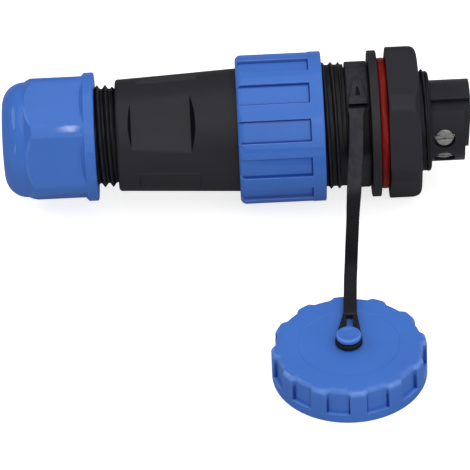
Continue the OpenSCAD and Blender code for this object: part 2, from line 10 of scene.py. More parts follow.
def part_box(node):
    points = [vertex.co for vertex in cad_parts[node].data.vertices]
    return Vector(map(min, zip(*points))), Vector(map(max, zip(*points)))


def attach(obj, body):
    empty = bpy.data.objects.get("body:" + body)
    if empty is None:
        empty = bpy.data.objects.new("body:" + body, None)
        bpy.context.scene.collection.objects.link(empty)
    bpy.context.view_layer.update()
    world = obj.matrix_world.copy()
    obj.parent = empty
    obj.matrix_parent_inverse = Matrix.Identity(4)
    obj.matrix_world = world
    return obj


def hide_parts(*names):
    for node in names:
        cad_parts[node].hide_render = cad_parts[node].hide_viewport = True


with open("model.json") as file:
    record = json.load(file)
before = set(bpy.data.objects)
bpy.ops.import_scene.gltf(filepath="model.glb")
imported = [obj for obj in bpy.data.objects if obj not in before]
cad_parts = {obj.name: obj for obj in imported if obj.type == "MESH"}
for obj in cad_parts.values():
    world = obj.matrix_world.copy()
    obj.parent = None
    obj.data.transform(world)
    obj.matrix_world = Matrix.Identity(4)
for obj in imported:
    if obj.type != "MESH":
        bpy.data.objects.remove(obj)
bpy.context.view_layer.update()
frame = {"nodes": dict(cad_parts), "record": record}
nodes = frame["nodes"]
print("frame loaded with", len(nodes), "nodes")

mm = 0.001
turn = 2 * math.pi
weldGap, sliverGap = 2e-7, 1e-8  # metres, for doubles and for faces without area
wearSheenGain, wearSheenFloor = 4, 0.15  # from how far a vertex stands out to how much edge wear and painted sheen it gets


# box of a node in millimetres, as two arrays
def nodeBox(name):
    lo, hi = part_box(name)
    return np.array(lo) / mm, np.array(hi) / mm


# 0 below a, 1 above b, with a smooth step between
def ease(a, b, t):
    s = np.clip((t - a) / (b - a), 0, 1)
    return s * s * (3 - 2 * s)


# smaller of two lengths, blended over the width k where they meet
def softMin(a, b, k):
    h = np.clip(0.5 + 0.5 * (b - a) / k, 0, 1)
    return b + (a - b) * h - k * h * (1 - h)


# angles that share a full turn evenly
def evenAngles(count):
    return np.linspace(0, turn, count, endpoint=False)


# open path through (x, r, radius) corners: each corner is the arc tangent to its two sides
def roundedPath(corners, arcStep=9):
    points = np.array([c[:2] for c in corners], float)
    radii = np.array([c[2] if len(c) > 2 else 0 for c in corners], float)
    length = np.linalg.norm(np.diff(points, axis=0), axis=1)
    ahead = np.diff(points, axis=0) / length[:, None]
    bend = np.concatenate([[0], np.arccos(np.clip((ahead[1:] * ahead[:-1]).sum(1), -1, 1)), [0]])
    back = np.where(bend < 0.02, 0, radii * np.tan(bend / 2))
    fit = np.minimum(1, length / np.maximum(back[1:] + back[:-1], 1e-9))
    back[1:-1] *= np.minimum(fit[1:], fit[:-1])
    parts = [points[:1]]
    for k in range(1, len(points) - 1):
        if back[k] == 0:
            parts.append(points[k:k + 1])
            continue
        radius = back[k] / math.tan(bend[k] / 2)
        inward = ahead[k] - ahead[k - 1]
        middle = points[k] + inward / np.linalg.norm(inward) * radius / math.cos(bend[k] / 2)
        first = points[k] - ahead[k - 1] * back[k] - middle
        last = points[k] + ahead[k] * back[k] - middle
        start = math.atan2(first[1], first[0])
        sweep = (math.atan2(last[1], last[0]) - start + math.pi) % turn - math.pi
        t = start + sweep * np.linspace(0, 1, max(3, math.ceil(math.degrees(bend[k]) / arcStep) + 1))
        parts.append(middle + radius * np.stack([np.cos(t), np.sin(t)], 1))
    parts.append(points[-1:])
    return np.concatenate(parts)


# the same path with no piece of it longer than step
def refined(path, step):
    length = np.linalg.norm(np.diff(path, axis=0), axis=1)
    count = np.maximum(1, np.ceil(length / step)).astype(int)
    index = np.repeat(np.arange(len(count)), count)
    local = np.arange(len(index)) - np.repeat(np.cumsum(count) - count, count)
    share = (local / count[index])[:, None]
    return np.concatenate([path[index] + share * (path[index + 1] - path[index]), path[-1:]])


# quads of a grid of rows by columns; the columns close on themselves, and the rows do if wrapped
def gridFaces(rows, cols, wrapRows=True):
    i, j = np.meshgrid(np.arange(rows if wrapRows else rows - 1), np.arange(cols), indexing="ij")
    i, j = i.ravel(), j.ravel()
    ni, nj = (i + 1) % rows, (j + 1) % cols
    return np.stack([i * cols + j, i * cols + nj, ni * cols + nj, ni * cols + j], 1)


# closed grid shell from x, y, z arrays, with its faces turned outwards by its signed volume
def shell(x, y, z, wrapRows=True):
    x, y, z = np.broadcast_arrays(x, y, z)
    verts = np.stack([x.ravel(), y.ravel(), z.ravel()], 1)
    faces = gridFaces(*x.shape, wrapRows)
    a, b, c, d = (verts[faces[:, k]] for k in range(4))
    volume = (np.cross(b - a, c - a) * a).sum() + (np.cross(c - a, d - a) * a).sum()
    return verts, faces if volume > 0 else faces[:, ::-1]


# round the connector's axis: angle psi runs from the front, -Y, up to +Z
def roundAxis(x, r, psi):
    return shell(x + 0 * psi, -r * np.cos(psi), r * np.sin(psi))


# one mesh piece from closed shells in millimetres, with smooth shading up to an angle
def meshPiece(name, shells, node, body, slot, sharp=38, coveShade=None, wearSheen=None):
    starts = np.cumsum([0] + [len(v) for v, f in shells])
    verts = np.concatenate([v for v, f in shells]) * mm
    faces = np.concatenate([f + s for (v, f), s in zip(shells, starts)])
    mesh = bpy.data.meshes.new(name)
    mesh.from_pydata(verts.tolist(), [], faces.tolist())
    bm = bmesh.new()
    bm.from_mesh(mesh)
    bmesh.ops.remove_doubles(bm, verts=bm.verts, dist=weldGap)
    bmesh.ops.dissolve_degenerate(bm, edges=bm.edges, dist=sliverGap)
    bm.to_mesh(mesh)
    bm.free()
    mesh.shade_smooth()
    mesh.set_sharp_from_angle(angle=math.radians(sharp))
    wearSheenMask(mesh, wearSheen)
    if coveShade:
        coveShadeMask(mesh, coveShade)
    piece = bpy.data.objects.new(name, mesh)
    bpy.context.scene.collection.objects.link(piece)
    mesh.materials.append(finishes[slot])
    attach(piece, body)
    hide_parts(node)
    mesh.calc_loop_triangles()
    print(name, "has", len(mesh.loop_triangles), "triangles")
    return piece


# attribute of edge wear and painted sheen: how far a vertex stands out of its neighbours along its normal, so
# 1 on sharp outer edges, and no less than a piece's own rule on x, y, z says, which paints highlights and
# lighter stretches
def wearSheenMask(mesh, rule):
    count = len(mesh.vertices)
    co = np.empty(count * 3, np.float32)
    normal = np.empty(count * 3, np.float32)
    ends = np.empty(len(mesh.edges) * 2, np.int32)
    mesh.vertices.foreach_get("co", co)
    mesh.vertices.foreach_get("normal", normal)
    mesh.edges.foreach_get("vertices", ends)
    co, normal, ends = co.reshape(-1, 3), normal.reshape(-1, 3), ends.reshape(-1, 2)
    offset = np.zeros((count, 3))
    reach = np.zeros(count)
    for a, b in (ends.T, ends[:, ::-1].T):
        step = co[b] - co[a]
        np.add.at(offset, a, step)
        np.add.at(reach, a, np.linalg.norm(step, axis=1))
    lift = -(offset * normal).sum(1) / np.maximum(reach, 1e-9)
    mask = np.clip(lift * wearSheenGain - wearSheenFloor, 0, 1)
    if rule:
        mask = np.maximum(mask, rule(*(co.T / mm)))
    mesh.attributes.new("edgeWearSheen", "FLOAT", "POINT").data.foreach_set("value", mask.astype(np.float32))


# attribute of painted shade: 1 where a piece's own rule on x, y, z paints shade, in corners, valleys, slots
# and under other parts
def coveShadeMask(mesh, rule):
    co = np.empty(len(mesh.vertices) * 3, np.float32)
    mesh.vertices.foreach_get("co", co)
    mask = np.clip(rule(*(co.reshape(-1, 3).T / mm)), 0, 1).astype(np.float32)
    mesh.attributes.new("coveShade", "FLOAT", "POINT").data.foreach_set("value", mask)


# height 0 to 1 of a right-handed thread at x and psi: one ridge a pitch, with flat root and crest
def threadLift(thread, x, psi):
    phase = np.mod(x / thread["pitch"] + psi / turn + thread["offset"], 1)
    away = np.abs(phase - 0.5) * 2
    flank = 1 - thread["root"] - thread["crest"]
    lift = np.clip((1 - thread["root"] - away) / flank, 0, 1)
    lift = lift * (1 - thread["soft"]) + ease(0, 1, lift) * thread["soft"]
    fade = ease(thread["from"], thread["from"] + thread["runout"], x)
    return lift * fade * (1 - ease(thread["to"] - thread["runout"], thread["to"], x))


# 1 in a thread's valleys, from a little under its root to a little below its crest, where shade is painted
def threadValley(thread, r):
    under, rise, below = thread["valley"]
    return (r > thread["low"] - under) * (1 - ease(thread["low"] + rise, thread["high"] - below, r))


# radii cut down to a hexagonal bar: flat distance over the cosine of the angle from the flat's middle
def hexCut(hexagon, r, psi):
    corner = math.radians(hexagon["corner"])
    bar = hexagon["flat"] / np.cos(np.mod(psi - corner, turn / 6) - turn / 12)
    return softMin(r + 0 * psi, bar[None], hexagon["soft"])


# radius at psi of the plane that stands at a distance in a direction, far off where it faces away
def planeRadius(away, direction, psi, least=0.2, farOff=99):
    facing = np.cos(psi - math.radians(direction))
    return np.where(facing > least, away / np.maximum(facing, least), farOff)


# evenly spread angles, with extra ones close to the edges of each recess
def recessAngles(recess, even, apart=0.8):
    centres = np.arange(recess["count"]) * turn / recess["count"] + math.radians(recess["at"])
    side = math.radians(recess["width"] / 2) * np.array([-1, 1])
    near = np.radians(recess["edge"])
    edges = (centres[:, None, None] + side[None, :, None] + near[None, None, :]).ravel()
    plain = evenAngles(even)
    gap = np.abs((plain[:, None] - edges[None] + math.pi) % turn - math.pi).min(1)
    return np.sort(np.concatenate([plain[gap > math.radians(apart)], np.mod(edges, turn)]))


# angle from the side of the nearest recess, below 0 inside it
def recessSide(recess, angle):
    pitch = turn / recess["count"]
    local = np.mod(angle - math.radians(recess["at"]) + pitch / 2, pitch)
    return np.abs(local - pitch / 2) - math.radians(recess["width"] / 2)


# 1 inside a recess and 0 between recesses; the short wall may be wider in some rows
def recessMask(recess, angle, widen=0):
    wall = np.radians(recess["wall"] + widen)
    return 1 - ease(-wall, wall, recessSide(recess, angle))


lineFade = {"side": (0.4, 1.6), "foot": (0.14, 0.48), "sunk": (0.05, 0.3), "past": 0.3}  # degrees, then mm


# painted shade line along the foot of a recess's walls: close to its sides or to its end, and below the rim
def recessShadeLine(recess, angle, along, sunk):
    side = 1 - ease(*lineFade["side"], np.degrees(np.abs(recessSide(recess, angle))))
    foot = 1 - ease(*lineFade["foot"], np.abs(along - recess["end"]))
    inside = ease(*lineFade["sunk"], sunk) * (sunk < recess["depth"] + lineFade["past"])
    return inside * np.maximum(side, foot)


# rounded rectangle round 0, 0: corner centres pushed out to the half sizes, plus a corner arc
def sectionPoints(halfWidth, halfThick, corner, perCorner=5):
    quarter = np.linspace(0, math.pi / 2, perCorner)
    a = np.concatenate([quarter + k * math.pi / 2 for k in range(4)])
    sideX = np.repeat([1, -1, -1, 1], perCorner)
    sideY = np.repeat([1, 1, -1, -1], perCorner)
    u = sideX * (np.asarray(halfWidth)[..., None] - corner) + corner * np.cos(a)
    v = sideY * (np.asarray(halfThick)[..., None] - corner) + corner * np.sin(a)
    return u, v


# rows of a strip that closes at both ends: each end row comes twice, first or last drawn in to a point
def closedRows(count):
    pick = np.concatenate([[0], np.arange(count), [count - 1]])
    return pick, np.concatenate([[0], np.ones(count), [0]])[:, None]


# distance from 0, 0 to the outline of a convex polygon in direction phi
def convexRadius(polygon, phi):
    p = np.array(polygon, float)
    q = np.roll(p, -1, axis=0)
    normal = np.stack([q[:, 1] - p[:, 1], p[:, 0] - q[:, 0]], 1)
    normal /= np.linalg.norm(normal, axis=1)[:, None]
    away = (normal * p).sum(1)
    facing = normal[:, :1] * np.cos(phi) + normal[:, 1:] * np.sin(phi)
    return np.where(facing > 1e-6, away[:, None] / np.maximum(facing, 1e-6), 1e6).min(0)


print("shapes ready")


# node by type in a tree, with each value set on its property or else on its socket
def addNode(tree, kind, at, **values):
    node = tree.nodes.new(kind)
    node.location = at
    for key, value in values.items():
        if hasattr(node, key):
            setattr(node, key, value)
        else:
            node.inputs[key.replace("_", " ")].default_value = value
    return node


def newGroup(name, inputs, outputs):
    group = bpy.data.node_groups.new(name, "ShaderNodeTree")
    for label, kind, value in inputs:
        group.interface.new_socket(name=label, in_out="INPUT", socket_type=kind).default_value = value
    for label, kind in outputs:
        group.interface.new_socket(name=label, in_out="OUTPUT", socket_type=kind)
    start = addNode(group, "NodeGroupInput", (-900, 0))
    end = addNode(group, "NodeGroupOutput", (700, 0))
    return group, start, end


def mathNode(tree, operation, at, a, b):
    node = addNode(tree, "ShaderNodeMath", at, operation=operation)
    for socket, value in zip(node.inputs, (a, b)):
        if isinstance(value, (int, float)):
            socket.default_value = value
        else:
            tree.links.new(value, socket)
    return node.outputs[0]


# moulded skin: cloudy tone from a wide noise, roughness from a middle one, fine grain as height; edges turn
# paler for wear and painted sheen, and colour goes towards Dark where shade is painted
def makeMouldedSkin():
    group, start, end = newGroup(
        "mouldedSkin",
        [("Tone", "NodeSocketColor", (0.5, 0.5, 0.5, 1)), ("Wear Sheen Tone", "NodeSocketColor", (0.6, 0.6, 0.6, 1)),
         ("Cloud", "NodeSocketFloat", 0.1), ("Rough", "NodeSocketFloat", 0.4),
         ("Rough Spread", "NodeSocketFloat", 0.1), ("Grain Size", "NodeSocketFloat", 2200.0),
         ("Wear Sheen", "NodeSocketFloat", 0.3), ("Cove Shade", "NodeSocketFloat", 0.0),
         ("Dark", "NodeSocketColor", (0.002, 0.002, 0.003, 1))],
        [("Color", "NodeSocketColor"), ("Roughness", "NodeSocketFloat"), ("Height", "NodeSocketFloat")])
    link = group.links.new
    place = addNode(group, "ShaderNodeTexCoord", (-900, 300)).outputs["Object"]
    wide = addNode(group, "ShaderNodeTexNoise", (-650, 300), Scale=70, Detail=2)
    middle = addNode(group, "ShaderNodeTexNoise", (-650, 60), Scale=420, Detail=3)
    fine = addNode(group, "ShaderNodeTexNoise", (-650, -180), Detail=2, Roughness=0.6)
    for noise in (wide, middle, fine):
        link(place, noise.inputs["Vector"])
    link(start.outputs["Grain Size"], fine.inputs["Scale"])
    swing = mathNode(group, "SUBTRACT", (-430, 300), wide.outputs["Fac"], 0.5)
    swing = mathNode(group, "MULTIPLY", (-270, 300), swing, start.outputs["Cloud"])
    value = mathNode(group, "ADD", (-110, 300), swing, 1)
    tinted = addNode(group, "ShaderNodeHueSaturation", (60, 300))
    link(start.outputs["Tone"], tinted.inputs["Color"])
    link(value, tinted.inputs["Value"])
    # paler tone on edges: real wear, plus painted highlight where a piece's rule raises the mask
    edge = addNode(group, "ShaderNodeAttribute", (-430, 520), attribute_name="edgeWearSheen").outputs["Fac"]
    wearSheen = mathNode(group, "MULTIPLY", (-110, 520), edge, start.outputs["Wear Sheen"])
    wearSheen = mathNode(group, "MULTIPLY", (60, 520), wearSheen, middle.outputs["Fac"])
    colour = addNode(group, "ShaderNodeMix", (300, 300), data_type="RGBA")
    link(wearSheen, colour.inputs[0])
    link(tinted.outputs["Color"], colour.inputs[6])
    link(start.outputs["Wear Sheen Tone"], colour.inputs[7])
    # painted shade: the colour drawn towards Dark by the shade attribute
    corner = addNode(group, "ShaderNodeAttribute", (60, 760), attribute_name="coveShade").outputs["Fac"]
    dark = addNode(group, "ShaderNodeMix", (500, 300), data_type="RGBA")
    link(start.outputs["Dark"], dark.inputs[7])
    link(mathNode(group, "MULTIPLY", (300, 760), corner, start.outputs["Cove Shade"]), dark.inputs[0])
    link(colour.outputs[2], dark.inputs[6])
    link(dark.outputs[2], end.inputs["Color"])
    rough = mathNode(group, "SUBTRACT", (-430, 60), middle.outputs["Fac"], 0.5)
    rough = mathNode(group, "MULTIPLY", (-270, 60), rough, start.outputs["Rough Spread"])
    rough = mathNode(group, "ADD", (-110, 60), rough, start.outputs["Rough"])
    link(rough, end.inputs["Roughness"])
    link(fine.outputs["Fac"], end.inputs["Height"])
    return group


# turned metal: fine rings round the piece's own axis direction, as streaks of tone and roughness
def makeTurnedMetal():
    group, start, end = newGroup(
        "turnedMetal",
        [("Tone", "NodeSocketColor", (0.7, 0.7, 0.7, 1)), ("Tarnish", "NodeSocketColor", (0.4, 0.4, 0.4, 1)),
         ("Rough", "NodeSocketFloat", 0.3), ("Ring Size", "NodeSocketFloat", 3000.0)],
        [("Color", "NodeSocketColor"), ("Roughness", "NodeSocketFloat"), ("Height", "NodeSocketFloat")])
    link = group.links.new
    place = addNode(group, "ShaderNodeTexCoord", (-900, 300)).outputs["Object"]
    squeeze = addNode(group, "ShaderNodeMapping", (-720, 300))
    squeeze.inputs["Scale"].default_value = (1, 0.06, 0.06)
    link(place, squeeze.inputs["Vector"])
    rings = addNode(group, "ShaderNodeTexNoise", (-520, 300), Detail=2)
    link(squeeze.outputs[0], rings.inputs["Vector"])
    link(start.outputs["Ring Size"], rings.inputs["Scale"])
    spots = addNode(group, "ShaderNodeTexNoise", (-520, 40), Scale=600, Detail=4)
    link(place, spots.inputs["Vector"])
    dull = addNode(group, "ShaderNodeMapRange", (-300, 40))
    for socket, number in zip(dull.inputs[1:5], (0.5, 0.75, 0, 0.55)):
        socket.default_value = number
    link(spots.outputs["Fac"], dull.inputs[0])
    colour = addNode(group, "ShaderNodeMix", (200, 200), data_type="RGBA")
    link(dull.outputs[0], colour.inputs[0])
    link(start.outputs["Tone"], colour.inputs[6])
    link(start.outputs["Tarnish"], colour.inputs[7])
    link(colour.outputs[2], end.inputs["Color"])
    rough = mathNode(group, "MULTIPLY", (-100, -60), dull.outputs[0], 0.3)
    rough = mathNode(group, "ADD", (60, -60), rough, start.outputs["Rough"])
    link(rough, end.inputs["Roughness"])
    link(rings.outputs["Fac"], end.inputs["Height"])
    return group


# gloss of a moulded skin: a thin coat over a base that reflects nothing
def coated(weight, rough, ior):
    return {"Specular IOR Level": 0.0, "Coat Weight": weight, "Coat Roughness": rough, "Coat IOR": ior}


# material from a group's colour, roughness and height, with a bump of a strength and a distance;
# constants sit on the shader itself
def makeFinish(name, group, values, bump, constants):
    material = bpy.data.materials.new(name)
    material.use_nodes = True
    tree = material.node_tree
    shader = tree.nodes["Principled BSDF"]
    skin = addNode(tree, "ShaderNodeGroup", (-500, 200))
    skin.node_tree = group
    for key, value in values.items():
        skin.inputs[key].default_value = (*value, 1) if isinstance(value, tuple) else value
    relief = addNode(tree, "ShaderNodeBump", (-250, -150), Strength=bump[0], Distance=bump[1])
    tree.links.new(skin.outputs["Height"], relief.inputs["Height"])
    tree.links.new(skin.outputs["Color"], shader.inputs["Base Color"])
    tree.links.new(skin.outputs["Roughness"], shader.inputs["Roughness"])
    tree.links.new(relief.outputs["Normal"], shader.inputs["Normal"])
    for key, value in constants.items():
        shader.inputs[key].default_value = value
    material.diffuse_color = (*values["Tone"], 1)
    return material


mouldedSkin = makeMouldedSkin()
turnedMetal = makeTurnedMetal()
# each finish: its tone, a paler tone for worn edges and painted sheen, and, where set, a darker one for
# painted shade
finishes = {
    "blue_plastic": makeFinish(
        "bluePlastic", mouldedSkin,
        {"Tone": (0.047, 0.147, 0.500), "Wear Sheen Tone": (0.22, 0.37, 0.80), "Cloud": 0.16, "Rough": 0.34,
         "Rough Spread": 0.12, "Grain Size": 2400, "Wear Sheen": 0.8, "Cove Shade": 1.0, "Dark": (0.012, 0.05, 0.27)},
        (0.12, 0.0001), coated(0.15, 0.04, 1.9)),
    "black_plastic": makeFinish(
        "blackPlastic", mouldedSkin,
        {"Tone": (0.0165, 0.0160, 0.0203), "Wear Sheen Tone": (0.06, 0.06, 0.066), "Cloud": 0.3, "Rough": 0.44,
         "Rough Spread": 0.14, "Grain Size": 2600, "Wear Sheen": 0.45, "Cove Shade": 0.85},
        (0.16, 0.0001), coated(0.14, 0.36, 1.9)),
    "insert_plastic": makeFinish(
        "insertPlastic", mouldedSkin,
        {"Tone": (0.018, 0.018, 0.023), "Wear Sheen Tone": (0.05, 0.05, 0.055), "Cloud": 0.3, "Rough": 0.5,
         "Rough Spread": 0.12, "Grain Size": 2600, "Wear Sheen": 0.35},
        (0.14, 0.0001), {"IOR": 1.5, "Specular IOR Level": 0.1}),
    "strap_plastic": makeFinish(
        "strapPlastic", mouldedSkin,
        {"Tone": (0.009, 0.009, 0.0112), "Wear Sheen Tone": (0.066, 0.066, 0.078), "Cloud": 0.35, "Rough": 0.55,
         "Rough Spread": 0.14, "Grain Size": 3200, "Wear Sheen": 0.8, "Cove Shade": 0.9},
        (0.25, 0.0001), coated(0.08, 0.42, 1.9)),
    "red_rubber": makeFinish(
        "redRubber", mouldedSkin,
        {"Tone": (0.222, 0.0065, 0.0055), "Wear Sheen Tone": (0.34, 0.04, 0.035), "Cloud": 0.4, "Rough": 0.42,
         "Rough Spread": 0.2, "Grain Size": 1800, "Wear Sheen": 0.4},
        (0.2, 0.0001), coated(0.16, 0.15, 1.6)),
    "black_rubber": makeFinish(
        "blackRubber", mouldedSkin,
        {"Tone": (0.022, 0.022, 0.022), "Wear Sheen Tone": (0.05, 0.05, 0.05), "Cloud": 0.4, "Rough": 0.72,
         "Rough Spread": 0.16, "Grain Size": 1800, "Wear Sheen": 0.3},
        (0.25, 0.0001), {"IOR": 1.45, "Specular IOR Level": 0.3}),
    "contact_brass": makeFinish(
        "contactBrass", turnedMetal,
        {"Tone": (0.72, 0.52, 0.21), "Tarnish": (0.5, 0.33, 0.12), "Rough": 0.24, "Ring Size": 3200.0},
        (0.2, 0.00005), {"Metallic": 1.0}),
    "screw_steel": makeFinish(
        "screwSteel", turnedMetal,
        {"Tone": (0.24, 0.24, 0.235), "Tarnish": (0.06, 0.06, 0.058), "Rough": 0.22, "Ring Size": 3000.0},
        (0.2, 0.00005), {"Metallic": 1.0}),
}
print("finishes ready:", ", ".join(sorted(finishes)))

# every construction node gets its slot's finish; the pieces below stand for some of them
for entry in frame["record"]["subparts"]:
    nodes[entry["node"]].data.materials.clear()
    nodes[entry["node"]].data.materials.append(finishes[entry["material_slot"]])


# closed section of a lathe grid: a piece's outside and inside joined, in rows no further apart than its step,
# or than a zone's own (from x, to x, step) where the path runs level there
def lathePath(piece, levelRise=0.6):
    outside, inside = roundedPath(piece["outside"]), roundedPath(piece["inside"])
    path = np.concatenate([outside[:-1], inside[:-1], outside[:1]])
    middle = (path[1:, 0] + path[:-1, 0]) / 2
    level = np.abs(path[1:, 1] - path[:-1, 1]) < levelRise
    steps = np.full(len(middle), piece["step"])
    for low, high, fine in piece["zones"]:
        steps[(middle > low) & (middle < high) & level] = fine
    return refined(path, steps)[:-1]


# section of a lathe grid, its x and radius as rows, and the angles of its columns
def latheGrid(piece):
    path = lathePath(piece)
    return path, path[:, :1], path[:, 1:], evenAngles(piece["columns"])


# adds a thread to the rows that lie at its low radius
def threaded(path, r, psi, thread, close=0.02):
    x, low, high = path[:, 0], thread["low"], thread["high"]
    rows = (np.abs(path[:, 1] - low) < close) & (x > thread["from"]) & (x < thread["to"])
    return r + rows[:, None] * (high - low) * threadLift(thread, path[:, :1], psi[None])


# thread forms: lead in mm, then what is crest and root of a pitch, and how soft the flanks are
bodyThread = {"pitch": 2.2, "crest": 0.1, "root": 0.42, "soft": 0.25}
glandThread = {"pitch": 2.2, "crest": 0.06, "root": 0.22, "soft": 0.2}

# receptacle shell: front thread, strap groove, flange, rear thread with a plain pilot, stepped bore and key
receptacle = {
    "frontThread": {**bodyThread, "offset": 0.735, "low": 16.4, "high": 17.1, "from": -26.6, "to": -9.6,
                    "runout": 0.7, "valley": (0.05, 0.1, 0.15)},
    "rearThread": {**bodyThread, "offset": 0.658, "low": 13.35, "high": 14.0, "from": 0.3, "to": 13.0,
                   "runout": 0.6, "valley": (0.05, 0.1, 0.15)},
    "frontEnd": -9, "rearStart": 0.1,  # no painted valley shade between these
    "outside": [(-26.8, 14.9), (-26.8, 16.4, 0.4), (-9, 16.4, 0.15), (-9, 15.5, 0.2), (-2.4, 15.5, 0.25),
                (-2.4, 19.75, 0.3), (0, 19.75, 0.3), (0, 13.35, 0.1), (12.75, 13.35, 0.05),
                (12.85, 13.5, 0.05), (13.8, 13.5, 0.8), (13.8, 12.5)],
    "inside": [(13.8, 12.5), (13.8, 12.0, 0.3), (4, 12.0, 0.15), (4, 11.5, 0.2), (-10.5, 11.5, 0.3),
               (-10.5, 13.6, 0.2), (-26.8, 13.6, 0.5), (-26.8, 14.9)],
    "key": {"width": 3, "height": 1, "from": -24, "to": -10.5, "round": 0.25, "wall": 13.6, "sink": 0.2,
            "rows": 24},
    "step": 2.5, "zones": [(-26.7, -9, 0.17), (0.1, 12.8, 0.17)], "columns": 180,
}


def makeReceptacle():
    s = receptacle
    front, rear, key = s["frontThread"], s["rearThread"], s["key"]
    path, x, r, psi = latheGrid(s)
    for thread in (front, rear):
        r = threaded(path, r, psi, thread)
    body = roundAxis(x, r, psi[None])
    # key: rounded bar along the cavity's top, sunk a little into its wall and closed at both ends
    pick, ends = closedRows(key["rows"])
    along = np.linspace(key["from"], key["to"], key["rows"])[pick][:, None]
    across, out = sectionPoints(key["width"] / 2, key["height"] / 2 + key["sink"], key["round"])
    middle = key["wall"] - key["height"] / 2 + key["sink"]
    bar = shell(along, across * ends, middle + out * ends, wrapRows=False)

    # painted shade in the valleys of both threads
    def valleyShade(x, y, z):
        r = np.hypot(y, z)
        return (x < s["frontEnd"]) * threadValley(front, r) + (x > s["rearStart"]) * threadValley(rear, r)

    return meshPiece("receptacleShell", [body, bar], "receptacle_shell", "receptacle", "black_plastic",
                     coveShade=valleyShade)


makeReceptacle()

# coupling ring: knurled by shallow recesses, with an internal thread and the lip that traps it
ring = {
    "radius": 20.2, "front": -14.9, "faceLow": 17.3, "faceHigh": 18.6,
    "outside": [(-38, 18.4), (-38, 20.2, 1.6), (-14.9, 20.2, 0.35), (-14.9, 18.4)],
    "inside": [(-14.9, 18.4), (-14.9, 16.55, 0.5), (-30.5, 16.55, 0.1), (-30.5, 15.4, 0.2),
               (-33.4, 15.4, 0.2), (-33.4, 17.16, 0.2), (-38, 17.16, 0.4), (-38, 18.4)],
    "recess": {"count": 12, "at": 33.6, "width": 17, "wall": 0.45,
               "edge": (-1.7, -1, -0.7, -0.35, 0, 0.35, 0.7, 1, 1.7),
               "depth": 0.9, "end": -18.5, "endWall": 0.14,
               "endRows": (-3.6, -2.4, -1.6, -0.8, 0, 0.8, 1.6, 2.6), "endSpan": 0.5,
               "rearFade": (-37.7, -36.8)},
    "thread": {**bodyThread, "offset": 0.735, "low": 16.55, "high": 17.25, "from": -30.4, "to": -14.8,
               "runout": 0.8},
    "step": 2.5, "zones": [(-30.4, -15, 0.25)], "columns": 144,
}


def makeRing():
    s, recess = ring, ring["recess"]
    end, wall = recess["end"], recess["endWall"]
    path = lathePath(s)
    extra = np.array([[end + k * wall, s["radius"]] for k in recess["endRows"]])
    first = np.argmax(path[:, 0] > end)
    path = np.concatenate([path[:first], extra, path[first:]])
    outer = np.arange(len(path)) < np.argmax(path[:, 0] > s["front"] - 0.01)
    path = np.concatenate([path[outer][np.argsort(path[outer][:, 0], kind="stable")], path[~outer]])
    psi = recessAngles(recess, s["columns"])
    share = recessMask(recess, psi)[None] * (1 - ease(end - wall, end + wall, path[:, :1]))
    # the end's rounding moves inwards with the recess, and the face behind it closes up
    sunk = np.clip((path[:, 1:] - s["faceLow"]) / (s["faceHigh"] - s["faceLow"]), 0, 1)
    r = threaded(path, path[:, 1:] - recess["depth"] * share * sunk, psi, s["thread"])

    # painted shade along the foot of each recess's walls
    def recessShade(x, y, z):
        line = recessShadeLine(recess, np.arctan2(z, -y), x, s["radius"] - np.hypot(y, z))
        return (x < end + recess["endSpan"]) * ease(*recess["rearFade"], x) * line

    body = roundAxis(path[:, :1], r, psi[None])
    return meshPiece("couplingRing", [body], "coupling_ring", "coupling_ring", "blue_plastic", coveShade=recessShade)


makeRing()

# back shell: gland thread, shoulder, taper with sunk wrench flats, stepped bore
backShell = {
    "cone": ((-69.05, -33.7), (15.1, 16.8)),  # x, then radius, where the taper starts and ends
    "coneRows": (-69.05, -67.6, -66.3, -65.1, -64.4, -50.7, -47.9),  # the zones meet here
    "rear": [(-84, 11.8), (-84, 12.75, 0.3), (-71.2, 12.75, 0.1), (-70.55, 12.6, 0.1), (-70.55, 15.1, 0.9)],
    "mouth": [(-33.7, 16.8, 0.3), (-33.7, 15.4)],
    "inside": [(-33.7, 15.4), (-33.7, 14.85, 0.3), (-46.3, 14.85, 0.1), (-46.3, 12.2, 0.2),
               (-62.05, 12.2, 0.5), (-66.05, 9.2, 0.5), (-69.95, 9.2, 0.2), (-69.95, 10.65, 0.2),
               (-84, 10.65, 0.4), (-84, 11.8)],
    "outerFrom": 14.9,
    # wrench flats: where they lie, then where shade is painted on their end walls (facing, floor, span, wall,
    # below)
    "flats": {"at": (45.5, 225.5), "from": -66.5, "to": -50.5, "away": 13.9, "lean": 0.62, "soft": 0.1,
              "facing": 0.8, "floor": 12.6, "span": 1.6, "wall": (-0.25, 0.05), "below": (0.05, 0.3)},
    # facets: where they lie, then where a highlight is painted along their edges (floor, edge)
    "facets": {"at": (113, -22, 158, 293), "from": -64.6, "to": -48.6, "depth": 0.5, "lean": 0.62,
               "soft": 0.05, "floor": 14.5, "edge": (0.02, 0.14)},
    "thread": {**glandThread, "offset": 0.43, "low": 12.75, "high": 13.8, "from": -83.8, "to": -70.9,
               "runout": 0.7, "valley": (0.2, 0.1, 0.25)},
    "threadEnd": -70.6, "step": 2.5, "columns": 264,
    "zones": [(-83.9, -71.2, 0.17), (-67.6, -66.3, 0.1), (-65.1, -64.4, 0.1), (-64.4, -50.7, 1.2),
              (-50.7, -47.9, 0.1)],
}


